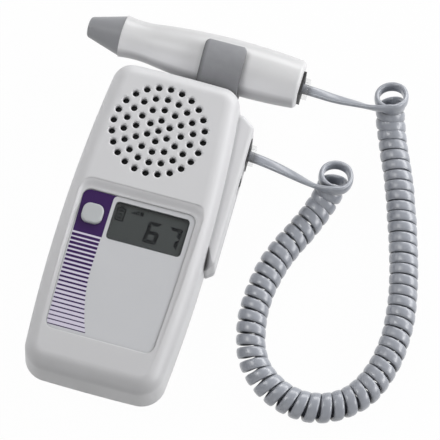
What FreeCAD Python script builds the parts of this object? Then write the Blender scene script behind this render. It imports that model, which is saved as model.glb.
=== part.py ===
import FreeCAD, Part
import math
import os

# Hand-held fetal doppler: a barrel-sided main unit that lies on its back, a pencil probe held in a
# clip across its top end, and a curly cord from a side pod to the probe.
# Millimetres.  Origin: on the back rest face, midway along the case.  +X to the cord side, +Y to the
# probe end, +Z out of the front face.

V = FreeCAD.Vector

# ---- driving dimensions: main unit ------------------------------------------------------------
CASE_LENGTH = 143.8
CASE_THICKNESS = 32.0
TOP_HALF_WIDTH = 28.5           # at the probe end
MID_HALF_WIDTH = 33.1           # at the widest point of the barrel side
BOTTOM_HALF_WIDTH = 29.8        # at the end away from the probe
WIDEST_Y = -8.0
END_CROWN = 0.5                 # how far each end bows out
TOP_CORNER_R = 9.0
BOTTOM_CORNER_R = 10.5
FRONT_EDGE_R = 7.0
BACK_EDGE_R = 4.0
WALL = 2.2
PART_Z = 11.0                   # parting plane of the two shells, where the case is widest
FRONT_DRAFT = (1.2, 0.8, 1.2)   # how far its sides, probe end and low end lean in at the front face
BACK_DRAFT = (1.15, 1.15, 5.6)  # the same at the back face, where the low end has a sloping heel
PANEL_CEILING_Z = 27.5          # underside of the front wall behind the label
CEILING_EDGE_R = 3.0            # of the hollow, below that wall
SPEAKER_CEILING_Z = 29.6        # underside of the front wall over the speaker

# ---- driving dimensions: side pod for the sockets and the volume wheel ---------------------------
POD_FACE_X = 36.9
POD_TOP_Y = 62.9
POD_BOTTOM_Y = -8.9
POD_ROOM_Y = 1.5                # low end of the hollow inside it
POD_TOP_BEVEL = (5.8, 4.4)      # how far the bevel of the upper end runs in x and in y
POD_LOW_BEVEL = (3.0, 2.4)
POD_ROOT_X = 20.0
POD_Z = (4.5, 24.0)
POD_FACET = [(32.8, -0.6, 24.0), (32.4, -8.6, 17.0), (36.3, -8.6, 23.5)]    # three points of its plane
POD_FACET_R = 8.0
POD_CORNER_R = 2.0
POD_RIM_R = 2.0
POD_BACK_R = 3.5
POD_RIM_ZONE = (3.9, 3.5)       # edges this near the outer face or the upper end are rounded

# ---- driving dimensions: sloping panel with label, display and button -----------------------------
PANEL_TOP_Y = 9.65              # upper edge of the label
PANEL_TOP_Z = 30.3
PANEL_END_Y = -64.5             # where the slope is level with the front face again
RECESS_DEPTH = 1.64             # at the step above the label
RECESS_FOOT = (0.7, 0.8, 0.6)   # reach of its floor past the label's top, left and right sides
RECESS_RUN = (4.0, 1.6, 3.6)    # how much further out its walls end
RECESS_TAIL = 20.0              # how far it runs on past the label's low end
RECESS_LEVELS = 5
PANEL_TILT = math.degrees(math.atan2(CASE_THICKNESS - PANEL_TOP_Z, PANEL_TOP_Y - PANEL_END_Y))
LABEL_LENGTH = 63.9
LABEL_TOP_HALF = 24.9
LABEL_BOTTOM_HALF = 23.1
LABEL_BOW = 0.5
LABEL_X = -0.35
LABEL_CORNER_R = 3.5
LABEL_T = 0.3
LABEL_POCKET = 0.65
LABEL_GAP = 0.1
WINDOW_SIZE = (32.8, 17.6)
WINDOW_CENTRE = (6.0, -10.95)   # panel coordinates: x, and y along the slope from the label's top
WINDOW_CORNER_R = 1.8
LCD_SIZE = (36.2, 21.2, 2.75)
LCD_TOP = -1.35
LCD_GAP = 0.4
LCD_CORNER_R = 0.5
WINDOW_GAP = 0.1
WINDOW_STEP = 0.4               # how far the window reaches below the label
BUTTON_SIZE = (9.1, 9.0)
BUTTON_CENTRE = (-18.6, -10.7)
BUTTON_CORNER_R = 3.2
BUTTON_PROUD = 1.2
BUTTON_GAP = 0.25
BUTTON_DEPTH = 3.2
BUTTON_RIM_R = 0.8
FLANGE = (1.3, 0.9)             # reach past the button and thickness of its stop flange

# ---- driving dimensions: speaker --------------------------------------------------------------
SPEAKER_XY = (-2.0, 42.5)
SPEAKER_R = 22.5
SPEAKER_RING = (23.6, 2.0)      # foot and outer width of the ring that holds the basket
CLOTH_Z = (29.15, 29.55)
BASKET = [(29.1, 20.0), (29.1, 22.5), (27.9, 22.5), (27.9, 20.6), (20.2, 11.5), (19.0, 11.5),
          (19.0, 6.6), (20.0, 6.6), (20.0, 10.6), (28.3, 20.0)]         # (z, radius)
CONE = [(28.2, 19.4), (28.5, 19.4), (22.0, 6.4), (21.4, 0), (21.1, 0), (21.1, 6.1)]
MAGNET = [(18.95, 0), (18.95, 10.8), (13.0, 10.8), (13.0, 0)]
HOLE_R = 1.45
HOLE_RIM_R = 0.7
HOLE_PITCH = 5.0
HOLE_RINGS = 4
FIRST_HOLE_DEG = 90.0           # where each ring of holes starts

# ---- driving dimensions: probe and its clip ---------------------------------------------------
PROBE_Y = 87.2
PROBE_Z = 16.0
PROBE_YAW = -1.1                # the probe sits about a degree askew in its clip
NOSE_X = -31.45                 # joint between the grey nose and the white body
NOSE_LENGTH = 16.2
NOSE_JOINT_R = 9.1
BODY_LENGTH = 82.4
BODY_WAIST = [(0.0, 9.5), (6.5, 8.85), (14.0, 9.2)]        # (distance from the joint, radius)
BODY_SWELL = [(14.0, 9.2), (50.0, 12.1), (80.6, 10.9)]
BODY_END_R = 9.2
BODY_SHOULDER = (0.5, 0.65)     # a point of the rounded end, from the face and from the crest
BODY_WALL = 1.8
BODY_BORE_ENDS = (3.0, 0.8)     # where the bore starts and stops, from the nose joint and the shoulder
SPIGOT = (3.0, 7.4, 5.9)        # length, outer radius and inner radius of the nose's joint
NOSE_TIP = [(0, 0), (0.15, 3.7), (0.5, 4.35), (1.1, 4.74)]       # (distance from the tip, radius)
NOSE_ROOM = (5.2, 4.4)
CRYSTAL = (1.0, 1.2, 3.5)       # distance from the tip, thickness, radius
CRYSTAL_GAP = 0.2
BACKING_T = 5.2
PROBE_BOARD = (10.0, 64.0, 5.5, -0.8, 0.6)      # start, end, half width, low and high z from the axis
PROBE_CHIPS = [(22.0, 6.0, 4.0, 1.4), (36.0, 8.6, 5.4, 1.5), (50.0, 5.0, 5.0, 2.6)]
CLIP_X = 15.6
CLIP_WIDTH = 18.6
CLIP_SEAT_R = 12.55
CLIP_OUTER_R = 15.0
CLIP_TIP_DEG = 15.0             # how far the arms reach past the probe's crest
CLIP_CREASE_DEG = -24.0         # where the arm leaves the round and slopes to the base
CLIP_BASE_Y = 71.2
CLIP_BASE_HALF = 8.5
CLIP_CORNER_R = 3.0
CLIP_TIP_RUN = 0.4
CLIP_SCREW_X = 4.4              # either side of the clip's middle
CLIP_SCREW_SINK = 1.8
CLIP_SCREW = (1.3, 7.0)         # head and shank length
CLIP_SCREW_FROM_Y = 60.0        # where the screw holes start inside the case

# ---- driving dimensions: sockets, wheel and battery -----------------------------------------------
JACK_Y = 48.8
JACK_Z = 14.4
JACK_BODY = (13.6, 10.4, 10.4)
JACK_PLATE = (1.2, 11.4, 11.4)
JACK_PROUD = 0.4
PLUG_BODY = (11.7, 7.6, 6.6)
PLUG_PROUD = 2.6
PLUG_TAB = (3.2, 1.3)           # width and height of the plug's latch
TAB_ENDS = (1.2, 0.6)           # how far short of the plug's two ends the latch stops
LATCH_ROOM = (3.6, 1.7)
PROBE_JACK_OFFSET = -1.2
WHEEL_R = 8.0
WHEEL_T = 3.0
WHEEL_PROUD = 0.45
WHEEL_Y = 34.9
WHEEL_Z = 15.5
WHEEL_NOTCHES = 24
NOTCH_R = 0.45
WHEEL_SLOT_HALF = 6.6
POT_R = 5.0
POST_R = 1.5
CELL_R = 7.1
CELL_LENGTH = 49.2
CELL_PITCH = 15.0
CELL_Z = 9.7
TRAY = (22.7, -59.2, -4.2, 17.2)        # half width, low y, high y, ceiling z
TRAY_WALL = 1.2
SHELF_X = (25.0, 31.0)          # posts under the side board
SHELF_Y = (12.0, 15.0)
SHELF_HALF = 1.5
DOOR_T = 1.25
DOOR_Z = 0.1
DOOR_HALF = 24.35
DOOR_Y = (-70.0, -2.9)
DOOR_GROOVE = 1.1
TONGUE = (0.8, 0.75, 8.0)       # reach past the door's side, underside, distance from its low end
GRIP = (9.0, -14.0, 1.0, 2.4)   # half length, first ridge, width and pitch of the thumb ridges
GRIP_COUNT = 5
GRIP_DEPTH = 0.4
DOOR_ROOM = (0.15, 0.25)        # space over the door and beside it
CELL_NUB = (2.6, 1.2)
CONTACT = (5.5, 0.4, 4.5, 15.0)                 # half width, thickness, low z, high z
SPRING = (4.2, 3.0, 0.6)        # radius at the plate, radius at the cell, wall

# ---- driving dimensions: boards ---------------------------------------------------------------
BOARD_T = 1.6
BOARD_CORNER_R = 3.0
MAIN_BOARD = (-27.2, -58.6, 27.2, 14.5)
MAIN_BOARD_Z = 20.0
BOARD_POSTS = [(-25.6, -54.0), (25.6, -54.0), (-25.6, 11.6), (25.6, 11.6)]
POST_ROUND_R = 2.2
POST_HOLE_R = 1.2
CHIPS = [(-12.0, -24.0, 10.0, 10.0, 1.4), (6.0, -26.0, 14.0, 7.6, 1.6), (8.0, -42.0, 7.6, 5.4, 1.5),
         (-16.0, -44.0, 5.4, 4.0, 1.5), (20.0, -44.0, 5.4, 4.0, 1.5),
         (-16.4, 10.4, 5.0, 4.0, 1.2)]          # x, y, size in x, size in y, height
CAPACITORS = [(-24.0, -28.0, 2.5, 5.2), (-22.0, -36.0, 2.0, 4.6), (22.0, -30.0, 2.5, 5.2),
              (-2.0, -52.0, 2.0, 4.6)]          # x, y, radius, height
LINK_Y = (5.6, 11.0)
LINK_X = (22.9, 24.3, 27.0)     # the flat cable's outer face, inner face and far end
LINK_T = 0.5
SWITCH_BODY = (6.0, 3.4)        # side and height
PLUNGER = (1.6, 24.3, 2.0)      # radius, foot, height
FRAME_TOP_Z = 26.1
FRAME_RAIL = (4.0, 4.2)         # width of the holder's rails at its ends and at its long sides
STRIP = (27.6, 2.0, 2.4)        # length, width, and distance of its middle from the holder's side
STRIP_TOP_Z = 26.05
SIDE_BOARD = (22.8, 5.0, 34.1, 56.5)
SIDE_BOARD_Z = 6.9

# ---- driving dimensions: fasteners ------------------------------------------------------------
CASE_SCREWS = [(-20.5, 62.5, 1.4), (20.5, 62.5, 1.4), (-20.0, -63.5, 1.6), (20.0, -63.5, 1.6)]
SCREW_HEAD_R = 2.2
SCREW_HEAD_T = 1.7
SCREW_R = 1.1
SCREW_LENGTH = 13.0
HEAD_GAP = 0.2
SHANK_GAP = 0.15
SCREW_GRIP = 9.0                # depth of the thread hole in the front shell
BOSS_R = 3.0
CROSS = (1.3, 0.3, 0.9)         # arm, half width and depth of a screw's cross slot

# ---- driving dimensions: cord -------------------------------------------------------------------
CORD_WIDTH = 4.7                # across the flat of the cord
BEND_SHARE = 0.45               # share of the shorter leg that a bend takes up
COIL_R = 6.45                   # outside of the curly part
UNIT_LEAD = [(40.5, 48.4, 14.4), (50.5, 46.3, 15.2), (58.5, 43.9, 17.0), (66.3, 41.0, 19.6),
             (72.6, 39.6, 21.5), (78.0, 39.8, 22.7)]
PROBE_LEAD = [(55.4, 85.2, 16.0), (67.4, 83.6, 17.4), (77.2, 82.9, 19.8), (85.7, 82.0, 21.9),
              (91.5, 83.2, 23.2)]
COIL_ROUTE = [(90.4, 91.2, 20.7), (91.0, 89.5, 15.9), (92.1, 86.6, 11.8), (93.5, 82.7, 8.8),
              (95.3, 78.2, 7.1), (98.6, 69.5, 6.7), (103.2, 59.0, 6.7), (108.2, 43.5, 6.7),
              (112.8, 28.5, 6.7), (117.0, 12.0, 6.7), (119.6, -5.5, 6.7), (118.5, -24.0, 6.7),
              (111.5, -42.0, 6.7), (96.0, -52.5, 6.7), (78.0, -51.5, 6.7), (63.0, -41.0, 6.7),
              (57.4, -23.0, 6.7), (57.6, -6.0, 6.7), (61.2, 9.8, 6.7), (69.2, 26.2, 6.7),
              (72.6, 35.2, 7.0), (74.3, 39.8, 8.7), (75.5, 43.8, 11.8), (76.2, 46.8, 15.9),
              (76.2, 48.6, 20.6)]


# ---- allowances -----------------------------------------------------------------------------------
CLEAR = 0.1
OVER = 1.0                      # how far a cutter reaches past what it cuts
BURY = 0.3                      # how far a rib or boss sinks into the wall that carries it
ROOM = 0.5                      # wider space around a part that is put in from inside
FAR_X = 50.0                    # past the unit's sides and ends
FAR_Y = 90.0
FAR_R = 20.0                    # past the surfaces of the probe and its clip
NEAR = 1e-3                     # how close an edge lies to a plane that it is picked by

# ---- shape helpers ------------------------------------------------------------------------------
def box(x0, x1, y0, y1, z0, z1):
    return Part.makeBox(x1 - x0, y1 - y0, z1 - z0, V(x0, y0, z0))


def cylinder(r, start, along, length):
    return Part.makeCylinder(r, length, V(*start), V(*along))


def round_box(size, centre, corner_r, z0, z1):
    """A plate with rounded corners in plan."""
    half_x, half_y = size[0] / 2, size[1] / 2
    x, y = centre
    plate = box(x - half_x, x + half_x, y - half_y, y + half_y, z0, z1)
    return plate.makeFillet(corner_r, upright_edges(plate))


def upright_edges(shape):
    found = []
    for edge in shape.Edges:
        a, b = edge.Vertexes[0].Point, edge.Vertexes[-1].Point
        if abs(a.x - b.x) < 1e-6 and abs(a.y - b.y) < 1e-6 and abs(a.z - b.z) > 1e-6:
            found.append(edge)
    return found


def level_edges(shape, z):
    return [e for e in shape.Edges if e.BoundBox.ZMin > z - 1e-6 and e.BoundBox.ZMax < z + 1e-6]


def arc(a, b, c):
    return Part.Arc(V(*a), V(*b), V(*c)).toShape()


def line(a, b):
    return Part.LineSegment(V(*a), V(*b)).toShape()


def prism(edges, height):
    """A solid from a closed outline in plan, raised by height."""
    return Part.Face(Part.Wire(edges)).extrude(V(0, 0, height))


def revolve(points, base, along, up):
    """A solid of revolution from (distance, radius) points about the line through base."""
    axis, side = V(*along), V(*up)
    corners = [V(*base) + axis * s + side * r for s, r in points]
    outline = Part.makePolygon(corners + [corners[0]])
    return Part.Face(outline).revolve(V(*base), axis, 360)


def on_panel(shape):
    """Moves a shape from panel coordinates to its place on the sloping panel."""
    moved = shape.copy()
    moved.rotate(V(0, 0, 0), V(1, 0, 0), -PANEL_TILT)
    moved.translate(V(0, PANEL_TOP_Y, PANEL_TOP_Z))
    return moved


def on_probe(shape):
    """Turns a shape with the probe, which sits askew in its clip."""
    turned = shape.copy()
    turned.rotate(V(CLIP_X, PROBE_Y, PROBE_Z), V(0, 0, 1), PROBE_YAW)
    return turned


# ---- outer form of the unit ---------------------------------------------------------------------
def foot_wire(shape):
    """Outline of the lowest face of a prism."""
    return min(shape.Faces, key=lambda face: face.CenterOfMass.z).OuterWire


def case_outline(inset, z):
    """Outline of the barrel-sided block at one height, inset by a wall thickness and leaned in."""
    half = CASE_LENGTH / 2 - inset
    top, bottom, mid = (w - inset for w in (TOP_HALF_WIDTH, BOTTOM_HALF_WIDTH, MID_HALF_WIDTH))
    crown = half + END_CROWN
    edges = [arc((-bottom, -half, 0), (0, -crown, 0), (bottom, -half, 0)),
             arc((bottom, -half, 0), (mid, WIDEST_Y, 0), (top, half, 0)),
             arc((top, half, 0), (0, crown, 0), (-top, half, 0)),
             arc((-top, half, 0), (-mid, WIDEST_Y, 0), (-bottom, -half, 0))]
    plate = prism(edges, OVER)
    at_top = [e for e in upright_edges(plate) if e.BoundBox.YMin > 0]
    plate = plate.makeFillet(TOP_CORNER_R - inset, at_top)
    at_bottom = [e for e in upright_edges(plate) if e.BoundBox.YMax < -half + OVER]
    plate = plate.makeFillet(BOTTOM_CORNER_R - inset, at_bottom)
    in_front = z > PART_Z
    side, top_end, low_end = FRONT_DRAFT if in_front else BACK_DRAFT
    share = abs(z - PART_Z) / (CASE_THICKNESS - PART_Z if in_front else PART_Z)
    lean = FreeCAD.Matrix()
    lean.A11 = 1 - share * side / MID_HALF_WIDTH
    lean.A22 = 1 - share * (top_end + low_end) / CASE_LENGTH
    lean.A24 = share * (low_end - top_end) / 2
    lean.A34 = z
    return foot_wire(plate).transformGeometry(lean)


def case_block(inset, z0, z1, front_r, back_r):
    """The block, widest at the parting plane, inset from the outside by a wall thickness."""
    middle = case_outline(inset, PART_Z)
    back = Part.makeLoft([case_outline(inset, z0), middle], True, True)
    front = Part.makeLoft([middle, case_outline(inset, z1)], True, True)
    back = back.makeFillet(back_r, level_edges(back, z0))
    if front_r:
        front = front.makeFillet(front_r, level_edges(front, z1))
    return back.fuse(front)


def pod_block(inset):
    """The pod on the cord side, with sloped ends."""
    x, high = POD_FACE_X - inset, POD_TOP_Y - inset
    low = POD_ROOM_Y if inset else POD_BOTTOM_Y
    z0, z1 = POD_Z[0] + inset, POD_Z[1] - inset
    (top_x, top_y), (low_x, low_y) = POD_TOP_BEVEL, POD_LOW_BEVEL
    corners = [(POD_ROOT_X, low, z0), (x - low_x, low, z0), (x, low + low_y, z0), (x, high - top_y, z0),
               (x - top_x, high, z0), (POD_ROOT_X, high, z0)]
    edges = [line(corners[i], corners[(i + 1) % len(corners)]) for i in range(len(corners))]
    block = prism(edges, z1 - z0)
    outer = [e for e in upright_edges(block) if e.BoundBox.XMin > x - NEAR]
    block = block.makeFillet(POD_CORNER_R, outer)
    if not inset:
        block = block.makeFillet(POD_RIM_R, pod_rim_edges(block))
        backs = [e for e in level_edges(block, z0) if e.BoundBox.XMax > POD_ROOT_X + OVER]
        block = block.makeFillet(POD_BACK_R, backs).cut(pod_facet())
    return block


def pod_rim_edges(block):
    """The edges around the front of the pod's outer face and its upper end."""
    found = []
    uprights = upright_edges(block)
    near_face, near_end = POD_RIM_ZONE
    for edge in block.Edges:
        at = edge.valueAt((edge.FirstParameter + edge.LastParameter) / 2)
        at_end = at.x > POD_ROOT_X + OVER and at.y > POD_TOP_Y - near_end
        above_back = edge.BoundBox.ZMax > POD_Z[0] + CLEAR
        upright = any(edge.isSame(other) for other in uprights)
        if (at.x > POD_FACE_X - near_face or at_end) and above_back and not upright:
            found.append(edge)
    return found


def pod_facet():
    """What the slanting facet takes off the low front corner of the pod, beside the case."""
    a, b, c = (V(*point) for point in POD_FACET)
    outward = (b - a).cross(c - a).normalize()
    return Part.makeCylinder(POD_FACET_R, POD_FACET_R, (a + b + c) / 3, outward)


def recess_outline(share):
    """Outline of the panel's recess at one level, with share 0 at its floor and 1 at its head."""
    past_top, past_left, past_right = (f + share * r for f, r in zip(RECESS_FOOT, RECESS_RUN))
    low, high = -LABEL_LENGTH - RECESS_TAIL, past_top
    left, right = -LABEL_TOP_HALF - past_left, LABEL_TOP_HALF + past_right
    stretch = (high - low) / LABEL_LENGTH
    taper = (LABEL_TOP_HALF - LABEL_BOTTOM_HALF) * stretch
    middle = (low + high) / 2
    bow = LABEL_BOW * stretch ** 2
    edges = [line((left + taper, low, 0), (right - taper, low, 0)),
             arc((right - taper, low, 0), (right - taper / 2 + bow, middle, 0), (right, high, 0)),
             line((right, high, 0), (left, high, 0)),
             arc((left, high, 0), (left + taper / 2 - bow, middle, 0), (left + taper, low, 0))]
    plate = prism(edges, OVER)
    at_top = [e for e in upright_edges(plate) if e.BoundBox.YMin > 0]
    plate = plate.makeFillet(LABEL_CORNER_R + past_left, at_top)
    height = RECESS_DEPTH * (1 - math.cos(math.pi * share)) / 2
    return foot_wire(plate).translated(V(LABEL_X, 0, height))


def recess():
    """What the sloping panel takes off the front face: a floor, S-shaped walls and all above them."""
    last = RECESS_LEVELS - 1
    outlines = [recess_outline(k / last) for k in range(RECESS_LEVELS)]
    walls = Part.makeLoft(outlines, True, False)
    above = Part.Face(outlines[-1]).extrude(V(0, 0, 3 * OVER))
    return [on_panel(walls), on_panel(above)]


def hollow_case():
    outside = case_block(0, 0, CASE_THICKNESS, FRONT_EDGE_R, BACK_EDGE_R)
    for part in recess():
        outside = outside.cut(part)
    outside = outside.fuse(pod_block(0))
    inside = case_block(WALL, WALL, PANEL_CEILING_Z, CEILING_EDGE_R, BACK_EDGE_R - WALL)
    inside = inside.fuse(pod_block(WALL))
    inside = inside.fuse(cylinder(SPEAKER_R + ROOM, (*SPEAKER_XY, PANEL_CEILING_Z - OVER), (0, 0, 1),
                                  SPEAKER_CEILING_Z - PANEL_CEILING_Z + OVER))
    return outside.cut(inside)


# ---- openings through the side of the pod ---------------------------------------------------------
def side_openings():
    face = POD_FACE_X
    reach = WALL + 2 * OVER
    jack_y, jack_z = JACK_BODY[1] / 2 + CLEAR, JACK_BODY[2] / 2 + CLEAR
    jack = box(face - reach, face + OVER, JACK_Y - jack_y, JACK_Y + jack_y,
               JACK_Z - jack_z, JACK_Z + jack_z)
    plate_y, plate_z = JACK_PLATE[1] / 2 + CLEAR, JACK_PLATE[2] / 2 + CLEAR
    plate = box(face - JACK_PLATE[0] + JACK_PROUD, face + OVER, JACK_Y - plate_y, JACK_Y + plate_y,
                JACK_Z - plate_z, JACK_Z + plate_z)
    wheel_half = WHEEL_T / 2 + 4 * CLEAR
    slot = box(face - reach, face + OVER, WHEEL_Y - WHEEL_SLOT_HALF, WHEEL_Y + WHEEL_SLOT_HALF,
               WHEEL_Z - wheel_half, WHEEL_Z + wheel_half)
    return [jack, plate, slot]


# ---- shells ---------------------------------------------------------------------------------------
def label_form(grow, z0, z1):
    half_top, half_bottom = LABEL_TOP_HALF + grow, LABEL_BOTTOM_HALF + grow
    low, high = -LABEL_LENGTH - grow, grow
    middle = (low + high) / 2
    half_mid = (half_top + half_bottom) / 2 + LABEL_BOW
    edges = [line((-half_bottom, low, z0), (half_bottom, low, z0)),
             arc((half_bottom, low, z0), (half_mid, middle, z0), (half_top, high, z0)),
             line((half_top, high, z0), (-half_top, high, z0)),
             arc((-half_top, high, z0), (-half_mid, middle, z0), (-half_bottom, low, z0))]
    form = prism(edges, z1 - z0)
    form = form.makeFillet(LABEL_CORNER_R + grow, upright_edges(form))
    form.translate(V(LABEL_X, 0, 0))
    return form


def speaker_hole():
    """Cutter for one hole at the speaker's centre, with a rounded rim."""
    low, top, rim = SPEAKER_CEILING_Z - OVER, CASE_THICKNESS, HOLE_RIM_R
    diagonal = rim * math.sqrt(0.5)
    points = [(0, 0, low), (HOLE_R, 0, low), (HOLE_R, 0, top - rim), (HOLE_R + rim, 0, top),
              (HOLE_R + rim, 0, top + OVER), (0, 0, top + OVER)]
    bulge = (HOLE_R + rim - diagonal, 0, top - rim + diagonal)
    edges = [line(points[0], points[1]), line(points[1], points[2]), arc(points[2], bulge, points[3]),
             line(points[3], points[4]), line(points[4], points[5]), line(points[5], points[0])]
    hole = Part.Face(Part.Wire(edges)).revolve(V(0, 0, 0), V(0, 0, 1), 360)
    hole.translate(V(*SPEAKER_XY, 0))
    return hole


def speaker_holes():
    """Hole cutters on concentric rings, six more on each ring."""
    hole = speaker_hole()
    holes = [hole]
    for ring in range(1, HOLE_RINGS + 1):
        for k in range(6 * ring):
            turn = math.radians(FIRST_HOLE_DEG + 60.0 * k / ring)
            copy = hole.copy()
            copy.translate(V(ring * HOLE_PITCH * math.cos(turn), ring * HOLE_PITCH * math.sin(turn), 0))
            holes.append(copy)
    return holes


def front_shell(hollow):
    shell = hollow.common(box(-FAR_X, FAR_X, -FAR_Y, FAR_Y, PART_Z, CASE_THICKNESS + OVER))
    wall = PANEL_CEILING_Z + BURY
    bosses = [cylinder(BOSS_R, (x, y, PART_Z), (0, 0, 1), wall - PART_Z) for x, y, _ in CASE_SCREWS]
    ring_z, ring_w = SPEAKER_RING
    ring = cylinder(SPEAKER_R + ring_w, (*SPEAKER_XY, ring_z), (0, 0, 1), wall - ring_z)
    ring = ring.cut(cylinder(SPEAKER_R + ROOM, (*SPEAKER_XY, ring_z - OVER), (0, 0, 1),
                             wall - ring_z + 2 * OVER))
    low = MAIN_BOARD_Z + BOARD_T
    posts = [cylinder(POST_ROUND_R, (x, y, low), (0, 0, 1), wall - low) for x, y in BOARD_POSTS]
    shell = shell.fuse(bosses + [ring] + posts)
    cuts = [cylinder(SCREW_R + CLEAR / 2, (x, y, PART_Z - OVER), (0, 0, 1), SCREW_GRIP)
            for x, y, _ in CASE_SCREWS]
    cuts += speaker_holes() + side_openings() + clip_screw_holes()
    cuts.append(on_panel(label_form(LABEL_GAP, -LABEL_POCKET, 2 * OVER)))
    cuts.append(on_panel(round_box(WINDOW_SIZE, WINDOW_CENTRE, WINDOW_CORNER_R, -5 * OVER, OVER)))
    lcd_size, lcd_r = (LCD_SIZE[0] + LCD_GAP, LCD_SIZE[1] + LCD_GAP), LCD_CORNER_R + LCD_GAP / 2
    cuts.append(on_panel(round_box(lcd_size, WINDOW_CENTRE, lcd_r, -6 * OVER, LCD_TOP + CLEAR)))
    cuts.append(on_panel(key_room(-5 * OVER, OVER)))
    return shell.cut(cuts)


def key_room(z0, z1):
    """Space for the button with its gap, in panel coordinates."""
    size = (BUTTON_SIZE[0] + 2 * BUTTON_GAP, BUTTON_SIZE[1] + 2 * BUTTON_GAP)
    return round_box(size, BUTTON_CENTRE, BUTTON_CORNER_R + BUTTON_GAP, z0, z1)


def back_shell(hollow):
    shell = hollow.common(box(-FAR_X, FAR_X, -FAR_Y, FAR_Y, -OVER, PART_Z))
    half, low, high, ceiling = TRAY
    w = TRAY_WALL
    floor = WALL - BURY
    tray = box(-half - w, half + w, low - w, high + w, floor, ceiling + w)
    bosses = [cylinder(BOSS_R, (x, y, floor), (0, 0, 1), PART_Z - floor) for x, y, _ in CASE_SCREWS]
    shelf = [box(x - SHELF_HALF, x + SHELF_HALF, *SHELF_Y, floor, SIDE_BOARD_Z) for x in SHELF_X]
    shell = shell.fuse([tray] + bosses + shelf)
    cuts = [box(-half, half, low, high, -OVER, ceiling)]
    above, beside = DOOR_ROOM
    recess_top, end = DOOR_Z + DOOR_T + above, DOOR_Y[1] + beside
    side, groove = DOOR_HALF + beside, DOOR_HALF + DOOR_GROOVE
    cuts.append(box(-side, side, -FAR_Y, end, -OVER, recess_top))
    cuts.append(box(-groove, groove, -FAR_Y, end, TONGUE[1] - above, recess_top))
    for x, y, head_z in CASE_SCREWS:
        cuts.append(cylinder(SCREW_HEAD_R + HEAD_GAP, (x, y, -OVER), (0, 0, 1), head_z + SCREW_HEAD_T + OVER))
        cuts.append(cylinder(SCREW_R + SHANK_GAP, (x, y, 0), (0, 0, 1), PART_Z + OVER))
    cuts += side_openings()
    return shell.cut(cuts)


def case_screws():
    screws = []
    for x, y, head_z in CASE_SCREWS:
        head = cylinder(SCREW_HEAD_R, (x, y, head_z), (0, 0, 1), SCREW_HEAD_T)
        head = head.cut(cross_slot(x, y, head_z))
        shank = cylinder(SCREW_R, (x, y, head_z + SCREW_HEAD_T), (0, 0, 1), SCREW_LENGTH)
        screws.append(head.fuse(shank))
    return Part.makeCompound(screws)


def cross_slot(x, y, z):
    arm, half, depth = CROSS
    across = box(x - arm, x + arm, y - half, y + half, z - CLEAR, z + depth)
    return across.fuse(box(x - half, x + half, y - arm, y + arm, z - CLEAR, z + depth))


# ---- panel: label, window, display, button --------------------------------------------------------
def label():
    sheet = label_form(0, -LABEL_POCKET, -LABEL_POCKET + LABEL_T)
    window = round_box(WINDOW_SIZE, WINDOW_CENTRE, WINDOW_CORNER_R, -2 * OVER, 2 * OVER)
    return on_panel(sheet.cut([window, key_room(-2 * OVER, 2 * OVER)]))


def lcd_window():
    size = (WINDOW_SIZE[0] - WINDOW_GAP, WINDOW_SIZE[1] - WINDOW_GAP)
    return on_panel(round_box(size, WINDOW_CENTRE, WINDOW_CORNER_R - WINDOW_GAP / 2,
                              -LABEL_POCKET - WINDOW_STEP, -LABEL_POCKET + LABEL_T))


def lcd_module():
    return on_panel(round_box(LCD_SIZE[:2], WINDOW_CENTRE, LCD_CORNER_R, LCD_TOP - LCD_SIZE[2], LCD_TOP))


def lcd_place():
    """Middle of the display in plan, and half the size of its holder."""
    middle = WINDOW_CENTRE[0], PANEL_TOP_Y + WINDOW_CENTRE[1]
    return (*middle, LCD_SIZE[0] / 2 - BURY, LCD_SIZE[1] / 2 - BURY)


def lcd_frame():
    """Holder that carries the display on the board and clamps the contact strips."""
    x, y, half_x, half_y = lcd_place()
    low = MAIN_BOARD_Z + BOARD_T
    frame = box(x - half_x, x + half_x, y - half_y, y + half_y, low, FRAME_TOP_Z)
    room_x, room_y = half_x - FRAME_RAIL[0], half_y - FRAME_RAIL[1]
    cuts = [box(x - room_x, x + room_x, y - room_y, y + room_y, low - OVER, FRAME_TOP_Z + OVER)]
    cuts += strip_boxes(2 * CLEAR, CLEAR, low - OVER, FRAME_TOP_Z + OVER)
    return frame.cut(cuts)


def strip_boxes(grow_x, grow_y, low, high):
    """The two contact strips, or the slots that hold them."""
    x, y, _, half_y = lcd_place()
    length, width, inward = STRIP
    half_x, half_w = length / 2 + grow_x, width / 2 + grow_y
    made = []
    for side in (-1, 1):
        middle = y + side * (half_y - inward)
        made.append(box(x - half_x, x + half_x, middle - half_w, middle + half_w, low, high))
    return made


def zebra_strips():
    """Elastomer contact strips between the display and the board."""
    return Part.makeCompound(strip_boxes(0, 0, MAIN_BOARD_Z + BOARD_T, STRIP_TOP_Z))


def power_button():
    cap = round_box(BUTTON_SIZE, BUTTON_CENTRE, BUTTON_CORNER_R, -BUTTON_DEPTH, BUTTON_PROUD)
    cap = cap.makeFillet(BUTTON_RIM_R, level_edges(cap, BUTTON_PROUD))
    reach, thickness = FLANGE
    size = (BUTTON_SIZE[0] + 2 * reach, BUTTON_SIZE[1] + 2 * reach)
    top = -BUTTON_DEPTH - CLEAR
    flange = round_box(size, BUTTON_CENTRE, BUTTON_CORNER_R + OVER, top - thickness, top)
    neck = round_box(BUTTON_SIZE, BUTTON_CENTRE, BUTTON_CORNER_R, top - CLEAR, -BUTTON_DEPTH + CLEAR)
    return on_panel(cap.fuse([flange, neck]))


def switch_place():
    return BUTTON_CENTRE[0], PANEL_TOP_Y + BUTTON_CENTRE[1]


def switch_plunger():
    radius, foot, height = PLUNGER
    return cylinder(radius, (*switch_place(), foot), (0, 0, 1), height)


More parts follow.
